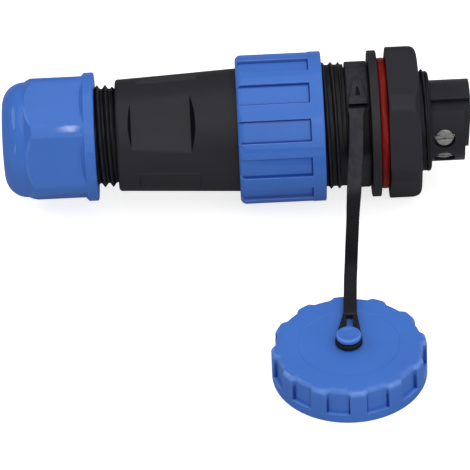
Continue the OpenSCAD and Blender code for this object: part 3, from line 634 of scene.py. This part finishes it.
def makeBackShell():
    s, flats, facets = backShell, backShell["flats"], backShell["facets"]
    taper = [(at, np.interp(at, *s["cone"])) for at in s["coneRows"]]
    path, x, r, psi = latheGrid({**s, "outside": s["rear"] + taper + s["mouth"]})
    outer = r > s["outerFrom"]
    cone = np.interp(x, *s["cone"])
    for kind, away in ((flats, flats["away"]), (facets, cone - facets["depth"])):
        past = np.maximum(0, kind["from"] - x) + np.maximum(0, x - kind["to"])
        for direction in kind["at"]:
            plane = planeRadius(away + past / kind["lean"], direction, psi[None])
            r = np.where(outer, softMin(r + 0 * plane, plane, kind["soft"]), r)
    r = threaded(path, r, psi, s["thread"])

    # painted shade on the end walls of the wrench flats and in the gland thread's valleys
    def cornerAndValleyShade(x, y, z):
        r = np.hypot(y, z)
        beyond = np.maximum(flats["from"] - x, x - flats["to"])
        facing = np.abs(np.cos(np.arctan2(z, -y) - math.radians(flats["at"][0]))) > flats["facing"]
        close = facing * (r > flats["floor"]) * (np.abs(beyond) < flats["span"])
        walls = close * ease(*flats["wall"], beyond) * ease(*flats["below"], np.interp(x, *s["cone"]) - r)
        return np.maximum(walls, (x < s["threadEnd"]) * threadValley(s["thread"], r))

    # painted highlight along the edges of the facets
    def facetHighlights(x, y, z):
        around = np.interp(x, *s["cone"])
        planes = [planeRadius(around - facets["depth"], at, np.arctan2(z, -y)) for at in facets["at"]]
        inside = (x > facets["from"]) * (x < facets["to"]) * (np.hypot(y, z) > facets["floor"])
        return inside * (1 - ease(*facets["edge"], np.abs(np.array(planes) - around).min(0)))

    return meshPiece("backShell", [roundAxis(x, r, psi[None])], "back_shell", "plug", "black_plastic",
                     coveShade=cornerAndValleyShade, wearSheen=facetHighlights)


makeBackShell()

# gland nut: domed end, hexagon with its corners turned down to the flange's radius, internal thread
glandNut = {
    "outside": [(-101.1, 9.2), (-101.1, 15.55, 6), (-94.95, 15.55, 0.3), (-92.95, 17.28, 0.4),
                (-79.8, 17.28), (-78.8, 17.34), (-76.2, 17.34, 0.35), (-76.2, 15.5)],
    "inside": [(-76.2, 15.5), (-76.2, 12.9, 0.6), (-89, 12.9, 0.1), (-89, 12.15, 0.2), (-96.5, 12.15, 0.2),
               (-96.5, 8.5, 0.2), (-101.1, 8.5, 0.5), (-101.1, 9.2)],
    "hexagon": {"flat": 15.75, "corner": 43, "soft": 0.3},
    "flange": {"from": -79.8, "to": -78.8, "low": 16.25, "high": 17.34},
    "thread": {**glandThread, "offset": 0.43, "low": 12.9, "high": 13.95, "from": -88.9, "to": -76.4,
               "runout": 0.8},
    "outerFrom": 14.2, "step": 0.7, "zones": [(-88.9, -76.5, 0.17)], "columns": 252,
}


def makeGlandNut():
    s, hexagon, flange = glandNut, glandNut["hexagon"], glandNut["flange"]
    path, x, r, psi = latheGrid(s)
    rimRow = np.argmax(x[:, 0] > s["outside"][-1][0] - 0.01)
    outer = (np.arange(len(path)) < rimRow)[:, None] & (r > s["outerFrom"])
    flats = hexCut(hexagon, r, psi)
    rim = np.interp(x, [flange["from"], flange["to"]], [flange["low"], flange["high"]])
    shaped = np.maximum(flats, np.minimum(r, np.where(x > flange["from"], rim, 0)))
    r = threaded(path, np.where(outer, shaped, r), psi, s["thread"])
    return meshPiece("glandNut", [roundAxis(x, r, psi[None])], "gland_nut", "gland_nut", "blue_plastic")


makeGlandNut()

# panel nut: hexagon with rounded outer corners and an internal thread
panelNut = {
    "outside": [(2.35, 17), (2.35, 20.84, 0.5), (10.85, 20.84, 2.6), (10.85, 17)],
    "inside": [(10.85, 17), (10.85, 13.5, 0.6), (2.35, 13.5, 0.6), (2.35, 17)],
    "hexagon": {"flat": 18.85, "corner": 50.7, "soft": 0.3},
    "thread": {**bodyThread, "offset": 0.658, "low": 13.5, "high": 14.15, "from": 2.4, "to": 10.8,
               "runout": 0.7},
    "outerFrom": 17.1, "step": 0.7, "zones": [(2.6, 10.6, 0.2)], "columns": 252,
}


def makePanelNut():
    s = panelNut
    path, x, r, psi = latheGrid(s)
    r = threaded(path, np.where(r > s["outerFrom"], hexCut(s["hexagon"], r, psi), r), psi, s["thread"])
    return meshPiece("panelNut", [roundAxis(x, r, psi[None])], "panel_nut", "panel_nut", "black_plastic")


makePanelNut()

# panel gasket: flat ring with swollen edges
gasket = {
    "outside": [(0.05, 16), (0.05, 17.55, 0.5), (1.17, 17.7, 2.0), (2.3, 17.55, 0.5), (2.3, 16)],
    "inside": [(2.3, 16), (2.3, 14.35, 0.3), (0.05, 14.35, 0.3), (0.05, 16)],
    "step": 0.5, "zones": [], "columns": 168,
}


def makeGasket():
    x, r, psi = latheGrid(gasket)[1:]
    return meshPiece("panelGasket", [roundAxis(x, r, psi[None])], "panel_gasket", "gasket", "red_rubber")


makeGasket()

# cap: section of height and radius from the knob's top over the side to the threaded inside
capBox = nodeBox("cap")
cap = {
    "centre": (capBox[0] + capBox[1])[:2] / 2,
    "radius": 20.0, "faceLow": 14.5, "faceHigh": 18.4,
    "section": [(-7.2, 0), (-7.2, 1.5, 0.8), (-7, 2.2, 0.5), (-7, 3.2, 0.7), (-8.5, 3.2, 0.25),
                (-8.5, 1.8, 0.1), (-10.42, 1.8, 0.3), (-10.42, 12.95, 0.1), (-10.3, 13.15, 0.1),
                (-10.3, 20, 1.6), (-20.2, 20, 0.35), (-20.2, 16.8, 0.5), (-15.3, 16.8, 0.1),
                (-15.3, 17.1, 0.1), (-13.5, 17.1, 0.2), (-13.5, 0)],
    "recess": {"count": 12, "at": -101, "width": 17.2, "wall": 0.45,
               "edge": (-3.2, -2.2, -1.5, -1, -0.7, -0.35, 0, 0.35, 0.7, 1, 1.5, 2.2, 3.2),
               "depth": 1.0, "end": -17.9, "endWall": 0.14,
               "endRows": (3.6, 2.4, 1.6, 0.8, 0, -0.8, -1.6, -2.6), "endSpan": 0.5,
               "topSpread": 2.2, "spreadOver": (-13, -10.6), "topFade": (-12.8, -11.6)},
    "thread": {**bodyThread, "offset": 0.2, "low": 16.8, "high": 17.5, "from": -20.0, "to": -15.4,
               "runout": 0.6},
    # bands of painted highlight on the roundings of the top rim and the knob: heights, then radii
    "rim": {"rise": (-12, -11), "top": (-10.7, -10.34), "from": 17.2, "full": (18.5, 19.4), "least": 0.4},
    "knobRim": {"rise": (-8, -7.4), "top": (-7.2, -7.02), "from": 2.4},
    "step": 2.5, "threadStep": 0.25, "columns": 144,
}


def makeCap():
    s, recess, thread, close = cap, cap["recess"], cap["thread"], 0.1
    end, wall = recess["end"], recess["endWall"]
    path = roundedPath(s["section"])
    extra = np.array([[end + k * wall, s["radius"]] for k in recess["endRows"]])
    last = np.flatnonzero((path[:, 0] > end) & (path[:, 1] > s["radius"] - close))[-1] + 1
    path = np.concatenate([path[:last], extra, path[last:]])
    middle = (path[1:] + path[:-1]) / 2
    onThread = (np.abs(middle[:, 1] - thread["low"]) < close) & (middle[:, 0] > thread["from"] - close)
    path = refined(path, np.where(onThread, s["threadStep"], s["step"]))
    theta = recessAngles(recess, s["columns"])
    widen = recess["topSpread"] * ease(*recess["spreadOver"], path[:, :1])
    share = recessMask(recess, theta[None], widen)
    # the top's rounding moves inwards with the recess, and the flat top closes up; the floor stops at the
    # first end row and the wall at the second, about 0.4 above the named end, and all rows past them stay
    sunk = np.clip((path[:, 1:] - s["faceLow"]) / (s["faceHigh"] - s["faceLow"]), 0, 1)
    moved = np.arange(len(path))[:, None] <= np.argmax(path[:, 0] <= extra[0, 0])
    r = threaded(path, path[:, 1:] - recess["depth"] * share * sunk * moved, -theta, thread)
    x, y = s["centre"][0] + r * np.cos(theta), s["centre"][1] + r * np.sin(theta)
    body = shell(x, y, path[:, :1] + 0 * theta, wrapRows=False)

    # painted shade along the foot of each recess's walls
    def recessShade(x, y, z):
        x, y = x - s["centre"][0], y - s["centre"][1]
        line = recessShadeLine(recess, np.arctan2(y, x), z, s["radius"] - np.hypot(x, y))
        return (z > end - recess["endSpan"]) * line * (1 - ease(*recess["topFade"], z))

    # painted highlight on the top rim's rounding, strongest on the ribs, and on the knob's rim
    def rimHighlights(x, y, z):
        r, rim = np.hypot(x - s["centre"][0], y - s["centre"][1]), s["rim"]

        def edge(at):
            return ease(*at["rise"], z) * (1 - ease(*at["top"], z)) * (r > at["from"])

        share = rim["least"] + (1 - rim["least"]) * ease(*rim["full"], r)
        return np.maximum(edge(rim) * share, edge(s["knobRim"]))

    return meshPiece("screwCap", [body], "cap", "cap", "blue_plastic", coveShade=recessShade, wearSheen=rimHighlights)


makeCap()

# strap: band round the collar, arrow tip through its slot, long tail and keyhole eyelet, moulded in one
strap = {
    "bandX": -5.7, "bandHalf": 2.9, "bandLow": 15.7, "bandHigh": 17.0, "thick": 1.3, "bandCorner": 0.3,
    "bandStep": 0.45, "columns": 240,
    "slot": {"from": 50.6, "to": 54.4, "half": 2.6, "depth": 0.95, "edge": (0.3, 0.2), "side": (0.2, 0.05),
             "edgeRows": (-0.5, -0.2, 0.1, 0.4)},
    "pad": {"from": 54.6, "to": 61.4, "half": 2.5, "low": 16.6, "high": 17.55, "corner": 0.16, "rows": 12},
    "tip": {"middle": 68.5, "low": 16.6, "high": 17.6, "corner": 0.16, "columns": 160,
            "outline": [(-2.3, -2.2), (4.0, -0.9), (4.0, 0.9), (-2.3, 2.2)],
            "hole": [(-1.78, -0.65), (0.92, -0.08), (0.92, 0.08), (-1.78, 0.65)]},
    "tail": {"lineR": 17.55, "start": 50.2, "leave": 40, "straight": 8, "endZ": -9.5, "earHalf": 2.35,
             "neckHalf": 1.88, "wideHalf": 1.93, "slimHalf": 1.7, "earDrop": 0.08,
             "halfAt": (0, 0.6, 2.0, 3.2, 12, 22, 30), "corner": 0.28, "proud": 0.01,
             "notch": 0.55, "notchRun": 2.2, "notchPower": 0.8, "turnRun": 9, "overlap": 1.2,
             "sway": [(11, 0.45), (18, 0.4), (24, 0.05), (31, -0.25), (42, -0.4), (55, -0.35), (64, -0.15),
                      (70, 0)],
             "arcRows": 22, "bendRows": 48, "step": 0.8},
    "eyelet": {"radius": 3.5, "reach": 11.2, "hole": 2.05, "slotHalf": 0.85, "slotEnd": 9.8, "corner": 0.28,
               "near": 14, "fine": 0.4, "coarse": 2},  # degrees: fine steps near the slot, coarse past it
    "capCentre": cap["centre"],
    # painted light and painted shade on the strap: mm forward of the axis, then degrees round the band, then
    # mm
    "shade": {"steep": (25.5, 30), "flat": (45, 52), "steepPale": 0.76, "flatPale": 0.17,
              "under": (0, 12), "underEnd": (49, 50), "slot": (49, 55), "hole": (62, 72.5),
              "holeHalf": 1.7, "skin": 0.05, "edge": 0.02},
}


# ring section carried round the axis, pressed in where the slot is
def strapBand():
    s, slot = strap, strap["slot"]
    u, v = sectionPoints(s["bandHalf"], s["thick"] / 2, s["bandCorner"])
    path = refined(np.stack([np.append(u, u[0]), np.append(v, v[0])], 1), s["bandStep"])[:-1]
    near = np.concatenate([edge + np.array(slot["edgeRows"]) for edge in (slot["from"], slot["to"])])
    psi = np.sort(np.concatenate([evenAngles(s["columns"]), np.radians(near)]))
    (before, after), (inner, outer) = slot["edge"], slot["side"]
    inside = ease(slot["from"] - before, slot["from"] + after, np.degrees(psi))
    inside = inside * (1 - ease(slot["to"] - after, slot["to"] + before, np.degrees(psi)))
    across = 1 - ease(slot["half"] - inner, slot["half"] + outer, np.abs(path[:, :1]))
    top = path[:, 1:] > s["thick"] / 2 - s["shade"]["skin"]
    r = (s["bandLow"] + s["bandHigh"]) / 2 + path[:, 1:] - slot["depth"] * inside[None] * across * top
    return roundAxis(s["bandX"] + path[:, :1], r, psi[None])


# flat ring between two star-shaped outlines round phi, as lengths along, across and up
def loopPlate(phi, outer, inner, thick, corner):
    u, v = sectionPoints((outer - inner) / 2, thick / 2, corner)
    radial = (outer + inner)[:, None] / 2 + u
    return radial * np.cos(phi)[:, None], radial * np.sin(phi)[:, None], v


# arrow tip with its hole, laid on the band's curve
def strapTip():
    tip = strap["tip"]
    phi = evenAngles(tip["columns"])
    outer, inner = convexRadius(tip["outline"], phi), convexRadius(tip["hole"], phi)
    along, across, height = loopPlate(phi, outer, inner, tip["high"] - tip["low"], tip["corner"])
    r = (tip["high"] + tip["low"]) / 2 + height
    psi = math.radians(tip["middle"]) + along / strap["bandHigh"]
    return shell(strap["bandX"] + across, -r * np.cos(psi), r * np.sin(psi))


# pad between the slot and the tip: rounded strip along the band, closed at both ends
def strapPad():
    pad = strap["pad"]
    pick, ends = closedRows(pad["rows"])
    psi = np.radians(np.linspace(pad["from"], pad["to"], pad["rows"]))[pick][:, None]
    across, out = sectionPoints(pad["half"], (pad["high"] - pad["low"]) / 2, pad["corner"])
    r = (pad["high"] + pad["low"]) / 2 + out * ends
    return shell(strap["bandX"] + across * ends, -r * np.cos(psi), r * np.sin(psi), wrapRows=False)


# tail: rounded strip along an arc on the band, a straight, a wide bend and a flat run over the cap
def strapTail():
    s, tail = strap, strap["tail"]
    leave = math.radians(tail["leave"])
    away = np.array([s["bandX"], 0]) - np.array(s["capCentre"])
    reach, aim = np.linalg.norm(away), math.atan2(away[0], away[1])
    arc = np.radians(np.linspace(tail["start"], tail["leave"], tail["arcRows"]))
    first = tail["lineR"] * np.stack([np.cos(arc), np.sin(arc)], 1)
    down = np.array([math.sin(leave), -math.cos(leave)])
    bendStart = first[-1] + tail["straight"] * down
    radius = (bendStart[1] - tail["endZ"]) / (1 - math.sin(leave))
    middle = bendStart + radius * np.array([math.cos(leave), math.sin(leave)])
    sweep = np.linspace(math.pi + leave, 1.5 * math.pi, tail["bendRows"])
    bend = middle + radius * np.stack([np.cos(sweep), np.sin(sweep)], 1)
    end = [reach - s["eyelet"]["reach"] + tail["overlap"], tail["endZ"]]
    line = refined(np.concatenate([first, bend, [end]]), tail["step"])
    length = np.concatenate([[0], np.cumsum(np.linalg.norm(np.diff(line, axis=0), axis=1))])
    ear, neck, wide, slim = (tail[name + "Half"] for name in ("ear", "neck", "wide", "slim"))
    # ears at the slot, neck, wide middle and slim end
    half = np.interp(length, tail["halfAt"], [ear, ear - tail["earDrop"], neck, neck, wide, wide, slim])
    step = np.gradient(line, axis=0)
    step /= np.linalg.norm(step, axis=1)[:, None]
    u, v = sectionPoints(half, s["thick"] / 2 + tail["proud"], tail["corner"])
    pick, ends = closedRows(len(line))
    u, v = u[pick] * ends, v * ends
    fade = np.clip(1 - length[pick] / tail["notchRun"], 0, 1)[:, None]
    shift = tail["notch"] * fade * np.clip(1 - np.abs(u) / ear, 0, 1) ** tail["notchPower"]
    forward = line[pick, :1] - v * step[pick, 1:] + shift * step[pick, :1]
    z = line[pick, 1:] + v * step[pick, :1] + shift * step[pick, 1:]
    turned = aim * ease(0, tail["turnRun"], length[pick])[:, None]
    sway = np.interp(forward, *np.array(tail["sway"]).T)
    x = s["bandX"] + sway - forward * np.sin(aim) + u * np.cos(turned)
    y = -forward * np.cos(aim) - u * np.sin(turned)
    return shell(x, y, z, wrapRows=False), aim


# eyelet: plate from the round end to the tail, with the keyhole for the knob
def strapEyelet(aim):
    s, eye = strap, strap["eyelet"]
    near, coarse, radius, reach = eye["near"], eye["coarse"], eye["radius"], eye["reach"]
    close = np.arange(-near, near + 0.01, eye["fine"])
    sides = np.arange(-180, -near, coarse), np.arange(near + coarse, 180, coarse)
    phi = np.radians(np.concatenate([sides[0], close, sides[1]]))
    slim = s["tail"]["slimHalf"]
    wedge = convexRadius([(-0.01, -radius), (reach, -slim), (reach, slim), (-0.01, radius)], phi)
    outer = np.where(np.cos(phi) > 0, np.maximum(radius, wedge), radius)
    ray = np.minimum(eye["slotHalf"] / np.maximum(np.abs(np.sin(phi)), 1e-6), eye["slotEnd"])
    inner = np.where(np.cos(phi) > 0, np.maximum(eye["hole"], ray), eye["hole"])
    along, across, height = loopPlate(phi, outer, inner, s["thick"], eye["corner"])
    x = s["capCentre"][0] + along * math.sin(aim) + across * math.cos(aim)
    y = s["capCentre"][1] + along * math.cos(aim) - across * math.sin(aim)
    return shell(x, y, s["tail"]["endZ"] + height)


def makeStrap():
    s, shade, pad = strap, strap["shade"], strap["pad"]
    tail, aim = strapTail()
    shells = [strapBand(), strapPad(), strapTip(), tail, strapEyelet(aim)]

    # painted shade on the band under the tail, in its slot, in the tip's hole, on the tip's edges and in the
    # bend
    def strapShade(x, y, z):
        r, psi = np.hypot(y, z), np.degrees(np.arctan2(z, -y))
        off, skin = np.abs(x - s["bandX"]), shade["skin"]
        onBand = (r < s["bandHigh"] + skin) * (off < s["bandHalf"] + 2 * skin)
        under = ease(*shade["under"], psi) * (1 - ease(*shade["underEnd"], psi))
        slot = (r < s["bandHigh"] - 2 * skin) * (psi > shade["slot"][0]) * (psi < shade["slot"][1])
        hole = (psi > shade["hole"][0]) * (psi < shade["hole"][1]) * (off < shade["holeHalf"])
        top = np.where(psi > pad["to"] + 2 * skin, s["tip"]["high"], pad["high"]) - shade["edge"]
        edges = (r > s["bandHigh"] + skin) * (r < top) * (psi > pad["from"] - 2 * skin)
        bend = ease(*shade["steep"], -y) * (1 - ease(*shade["flat"], -y))
        return np.max([onBand * under, onBand * slot, onBand * hole, edges, bend], axis=0)

    # painted light: paler on the steep part and on the cap than in the bend
    def strapLightRuns(x, y, z):
        steep = shade["steepPale"] * (1 - ease(*shade["steep"], -y))
        return np.maximum(steep, shade["flatPale"] * ease(*shade["flat"], -y))

    return meshPiece("capStrap", shells, "cap_strap", "strap", "strap_plastic", coveShade=strapShade, wearSheen=strapLightRuns)


makeStrap()

# terminal screws: two rounded half heads with the driver slot between them, on a core with the shank
screws = {
    "at": (-32.2, 8.2, 147.8, 188.2), "x": 17.3, "radius": 2.55, "seat": 9.25, "top": 10.35, "dome": 0.3,
    "slot": 0.8, "slotFloor": 9.75, "round": 0.18, "shank": 1.4, "tip": 7.4, "seatGap": 0.05, "coreGap": 0.1,
    "arcRows": 40, "columns": 96, "coreColumns": 64,
}


# outline in polar form round 0, lift, drawn in from the rows' insets to a rounded edge and a low dome
def halfHead(side):
    s = screws
    edge = math.asin(s["slot"] / 2 / s["radius"])
    arc = np.linspace(edge, math.pi - edge, s["arcRows"])
    lift = s["radius"] / 2
    phi = evenAngles(s["columns"])
    outline = s["radius"] * np.stack([np.cos(arc), np.sin(arc)], 1) - [0, lift]
    reach = convexRadius(outline, phi)
    bend = np.linspace(0, math.pi / 2, 6)
    inset = np.concatenate([[0], s["round"] * (1 - np.cos(bend))])
    rim = s["top"] - s["dome"] - s["round"] * (1 - np.sin(bend))
    height = np.concatenate([[s["seat"] + s["seatGap"]], rim])
    share = np.array([0.8, 0.6, 0.4, 0.2, 0])
    radial = np.concatenate([0 * reach[None], reach - inset[:, None], (reach - s["round"]) * share[:, None]])
    height = np.concatenate([height[:1], height, np.full(len(share), height[-1])])[:, None] + 0 * phi
    u, v = radial * np.cos(phi), lift + radial * np.sin(phi)
    upper = np.arange(len(radial))[:, None] > 1
    return u, side * v, height + upper * s["dome"] * (1 - (u ** 2 + v ** 2) / s["radius"] ** 2)


def makeScrews():
    s = screws
    phi = evenAngles(s["coreColumns"])
    wide = s["radius"] - s["coreGap"]
    section = [(0, s["tip"]), (s["shank"], s["tip"]), (s["shank"], s["seat"]), (wide, s["seat"]),
               (wide, s["slotFloor"]), (0, s["slotFloor"])]
    radial, height = np.array(section).T[:, :, None]
    parts = [(radial * np.cos(phi), radial * np.sin(phi), height + 0 * phi), halfHead(1), halfHead(-1)]
    shells = []
    for at in s["at"]:
        c, d = math.cos(math.radians(at)), math.sin(math.radians(at))
        shells += [shell(s["x"] + u, -h * c + v * d, h * d + v * c, wrapRows=False) for u, v, h in parts]
    return meshPiece("receptacleScrews", shells, "receptacle_screws", "receptacle", "screw_steel")


makeScrews()
print("pieces made")

# floor and light, in metres and watts: a pale floor that keeps the shadow, white to the camera and less
# bright in reflections, and lamps that point at lampAim or at an aim of their own
stage = {"floorZ": -0.0203, "half": 3.0, "tone": (0.6, 0.6, 0.6), "lift": 0.75, "glossLift": 0.2,
         "worldLight": 0.3, "lampAim": (-0.04, -0.03, 0)}
lamps = {
    "key": {"at": (0.20, -0.14, 0.82), "size": (1.6, 1.6), "power": 7.8},
    "back": {"at": (-0.04, 0.85, 0.70), "size": (1.2, 0.7), "power": 0.6},
    "fill": {"at": (0.22, -0.90, 0.46), "size": (1.0, 1.0), "power": 3.1},
    "sideHigh": {"at": (-0.82, 0.07, 0.66), "size": (0.8, 0.3), "power": 2.2},
    "sideLow": {"at": (-0.87, -0.65, 0.11), "size": (0.1, 0.5), "power": 0.6},
    "glint": {"at": (-0.1136, -0.45, 0.66), "size": (0.005, 0.3), "power": 0.1, "aim": (-0.1136, -0.03, 0)},
}


# what brings the floor up to white: camera rays, and less for reflections and rays through glass
def whiteLift(tree):
    rays = addNode(tree, "ShaderNodeLightPath", (-900, 300)).outputs
    other = mathNode(tree, "MAXIMUM", (-680, 200), rays["Is Glossy Ray"], rays["Is Transmission Ray"])
    other = mathNode(tree, "MULTIPLY", (-500, 200), other, stage["glossLift"])
    direct = mathNode(tree, "MULTIPLY", (-500, 300), rays["Is Camera Ray"], stage["lift"])
    return mathNode(tree, "MAXIMUM", (-300, 300), direct, other)


def makeFloor():
    mesh = bpy.data.meshes.new("paleFloor")
    h, z = stage["half"], stage["floorZ"]
    mesh.from_pydata([(-h, -h, z), (h, -h, z), (h, h, z), (-h, h, z)], [], [(0, 1, 2, 3)])
    floor = bpy.data.objects.new("paleFloor", mesh)
    bpy.context.scene.collection.objects.link(floor)
    material = bpy.data.materials.new("paleFloor")
    material.use_nodes = True
    tree = material.node_tree
    tree.nodes.remove(tree.nodes["Principled BSDF"])
    base = addNode(tree, "ShaderNodeBsdfDiffuse", (-100, 100), Color=(*stage["tone"], 1))
    glow = addNode(tree, "ShaderNodeEmission", (-100, -80), Color=(1, 1, 1, 1))
    tree.links.new(whiteLift(tree), glow.inputs["Strength"])
    both = addNode(tree, "ShaderNodeAddShader", (80, 40))
    tree.links.new(base.outputs[0], both.inputs[0])
    tree.links.new(glow.outputs[0], both.inputs[1])
    tree.links.new(both.outputs[0], tree.nodes["Material Output"].inputs["Surface"])
    mesh.materials.append(material)


def makeWorld():
    world = bpy.data.worlds.new("softRoom")
    bpy.context.scene.world = world
    world.use_nodes = True
    sky = world.node_tree.nodes["Background"]
    sky.inputs["Color"].default_value = (1, 1, 1, 1)
    sky.inputs["Strength"].default_value = stage["worldLight"]


def makeLamps():
    for name, lamp in lamps.items():
        light = bpy.data.lights.new(name, "AREA")
        light.shape, light.energy = "ELLIPSE", lamp["power"]
        light.size, light.size_y = lamp["size"]
        holder = bpy.data.objects.new(name, light)
        holder.location = lamp["at"]
        aim = Vector(lamp.get("aim", stage["lampAim"])) - holder.location
        holder.rotation_euler = aim.to_track_quat("-Z", "Y").to_euler()
        bpy.context.scene.collection.objects.link(holder)


makeFloor()
makeWorld()
makeLamps()
print("floor and light ready")

# camera: looks down at the front with a slight roll, from far off; millimetres and degrees, clip in metres
view = {"middle": (-40.04, -17.46, -22.34), "elevation": 38, "roll": 2.7, "distance": 1100, "width": 126.9,
        "clip": (0.05, 20)}


def makeCamera():
    tilt, roll = math.radians(view["elevation"]), math.radians(view["roll"])
    look = Vector((0, math.cos(tilt), -math.sin(tilt)))
    right, up = Vector((1, 0, 0)), Vector((0, math.sin(tilt), math.cos(tilt)))
    camUp = up * math.cos(roll) + right * math.sin(roll)
    camRight = right * math.cos(roll) - up * math.sin(roll)
    lens = bpy.data.cameras.new("camera")
    lens.sensor_fit = "HORIZONTAL"
    lens.angle = 2 * math.atan(view["width"] / 2 / view["distance"])
    lens.clip_start, lens.clip_end = view["clip"]
    camera = bpy.data.objects.new("camera", lens)
    place = Vector(view["middle"]) * mm - look * view["distance"] * mm
    camera.matrix_world = Matrix.Translation(place) @ Matrix((camRight, camUp, -look)).transposed().to_4x4()
    bpy.context.scene.collection.objects.link(camera)
    bpy.context.scene.camera = camera


makeCamera()
bpy.context.scene.view_settings.view_transform = "Standard"

print("camera ready")
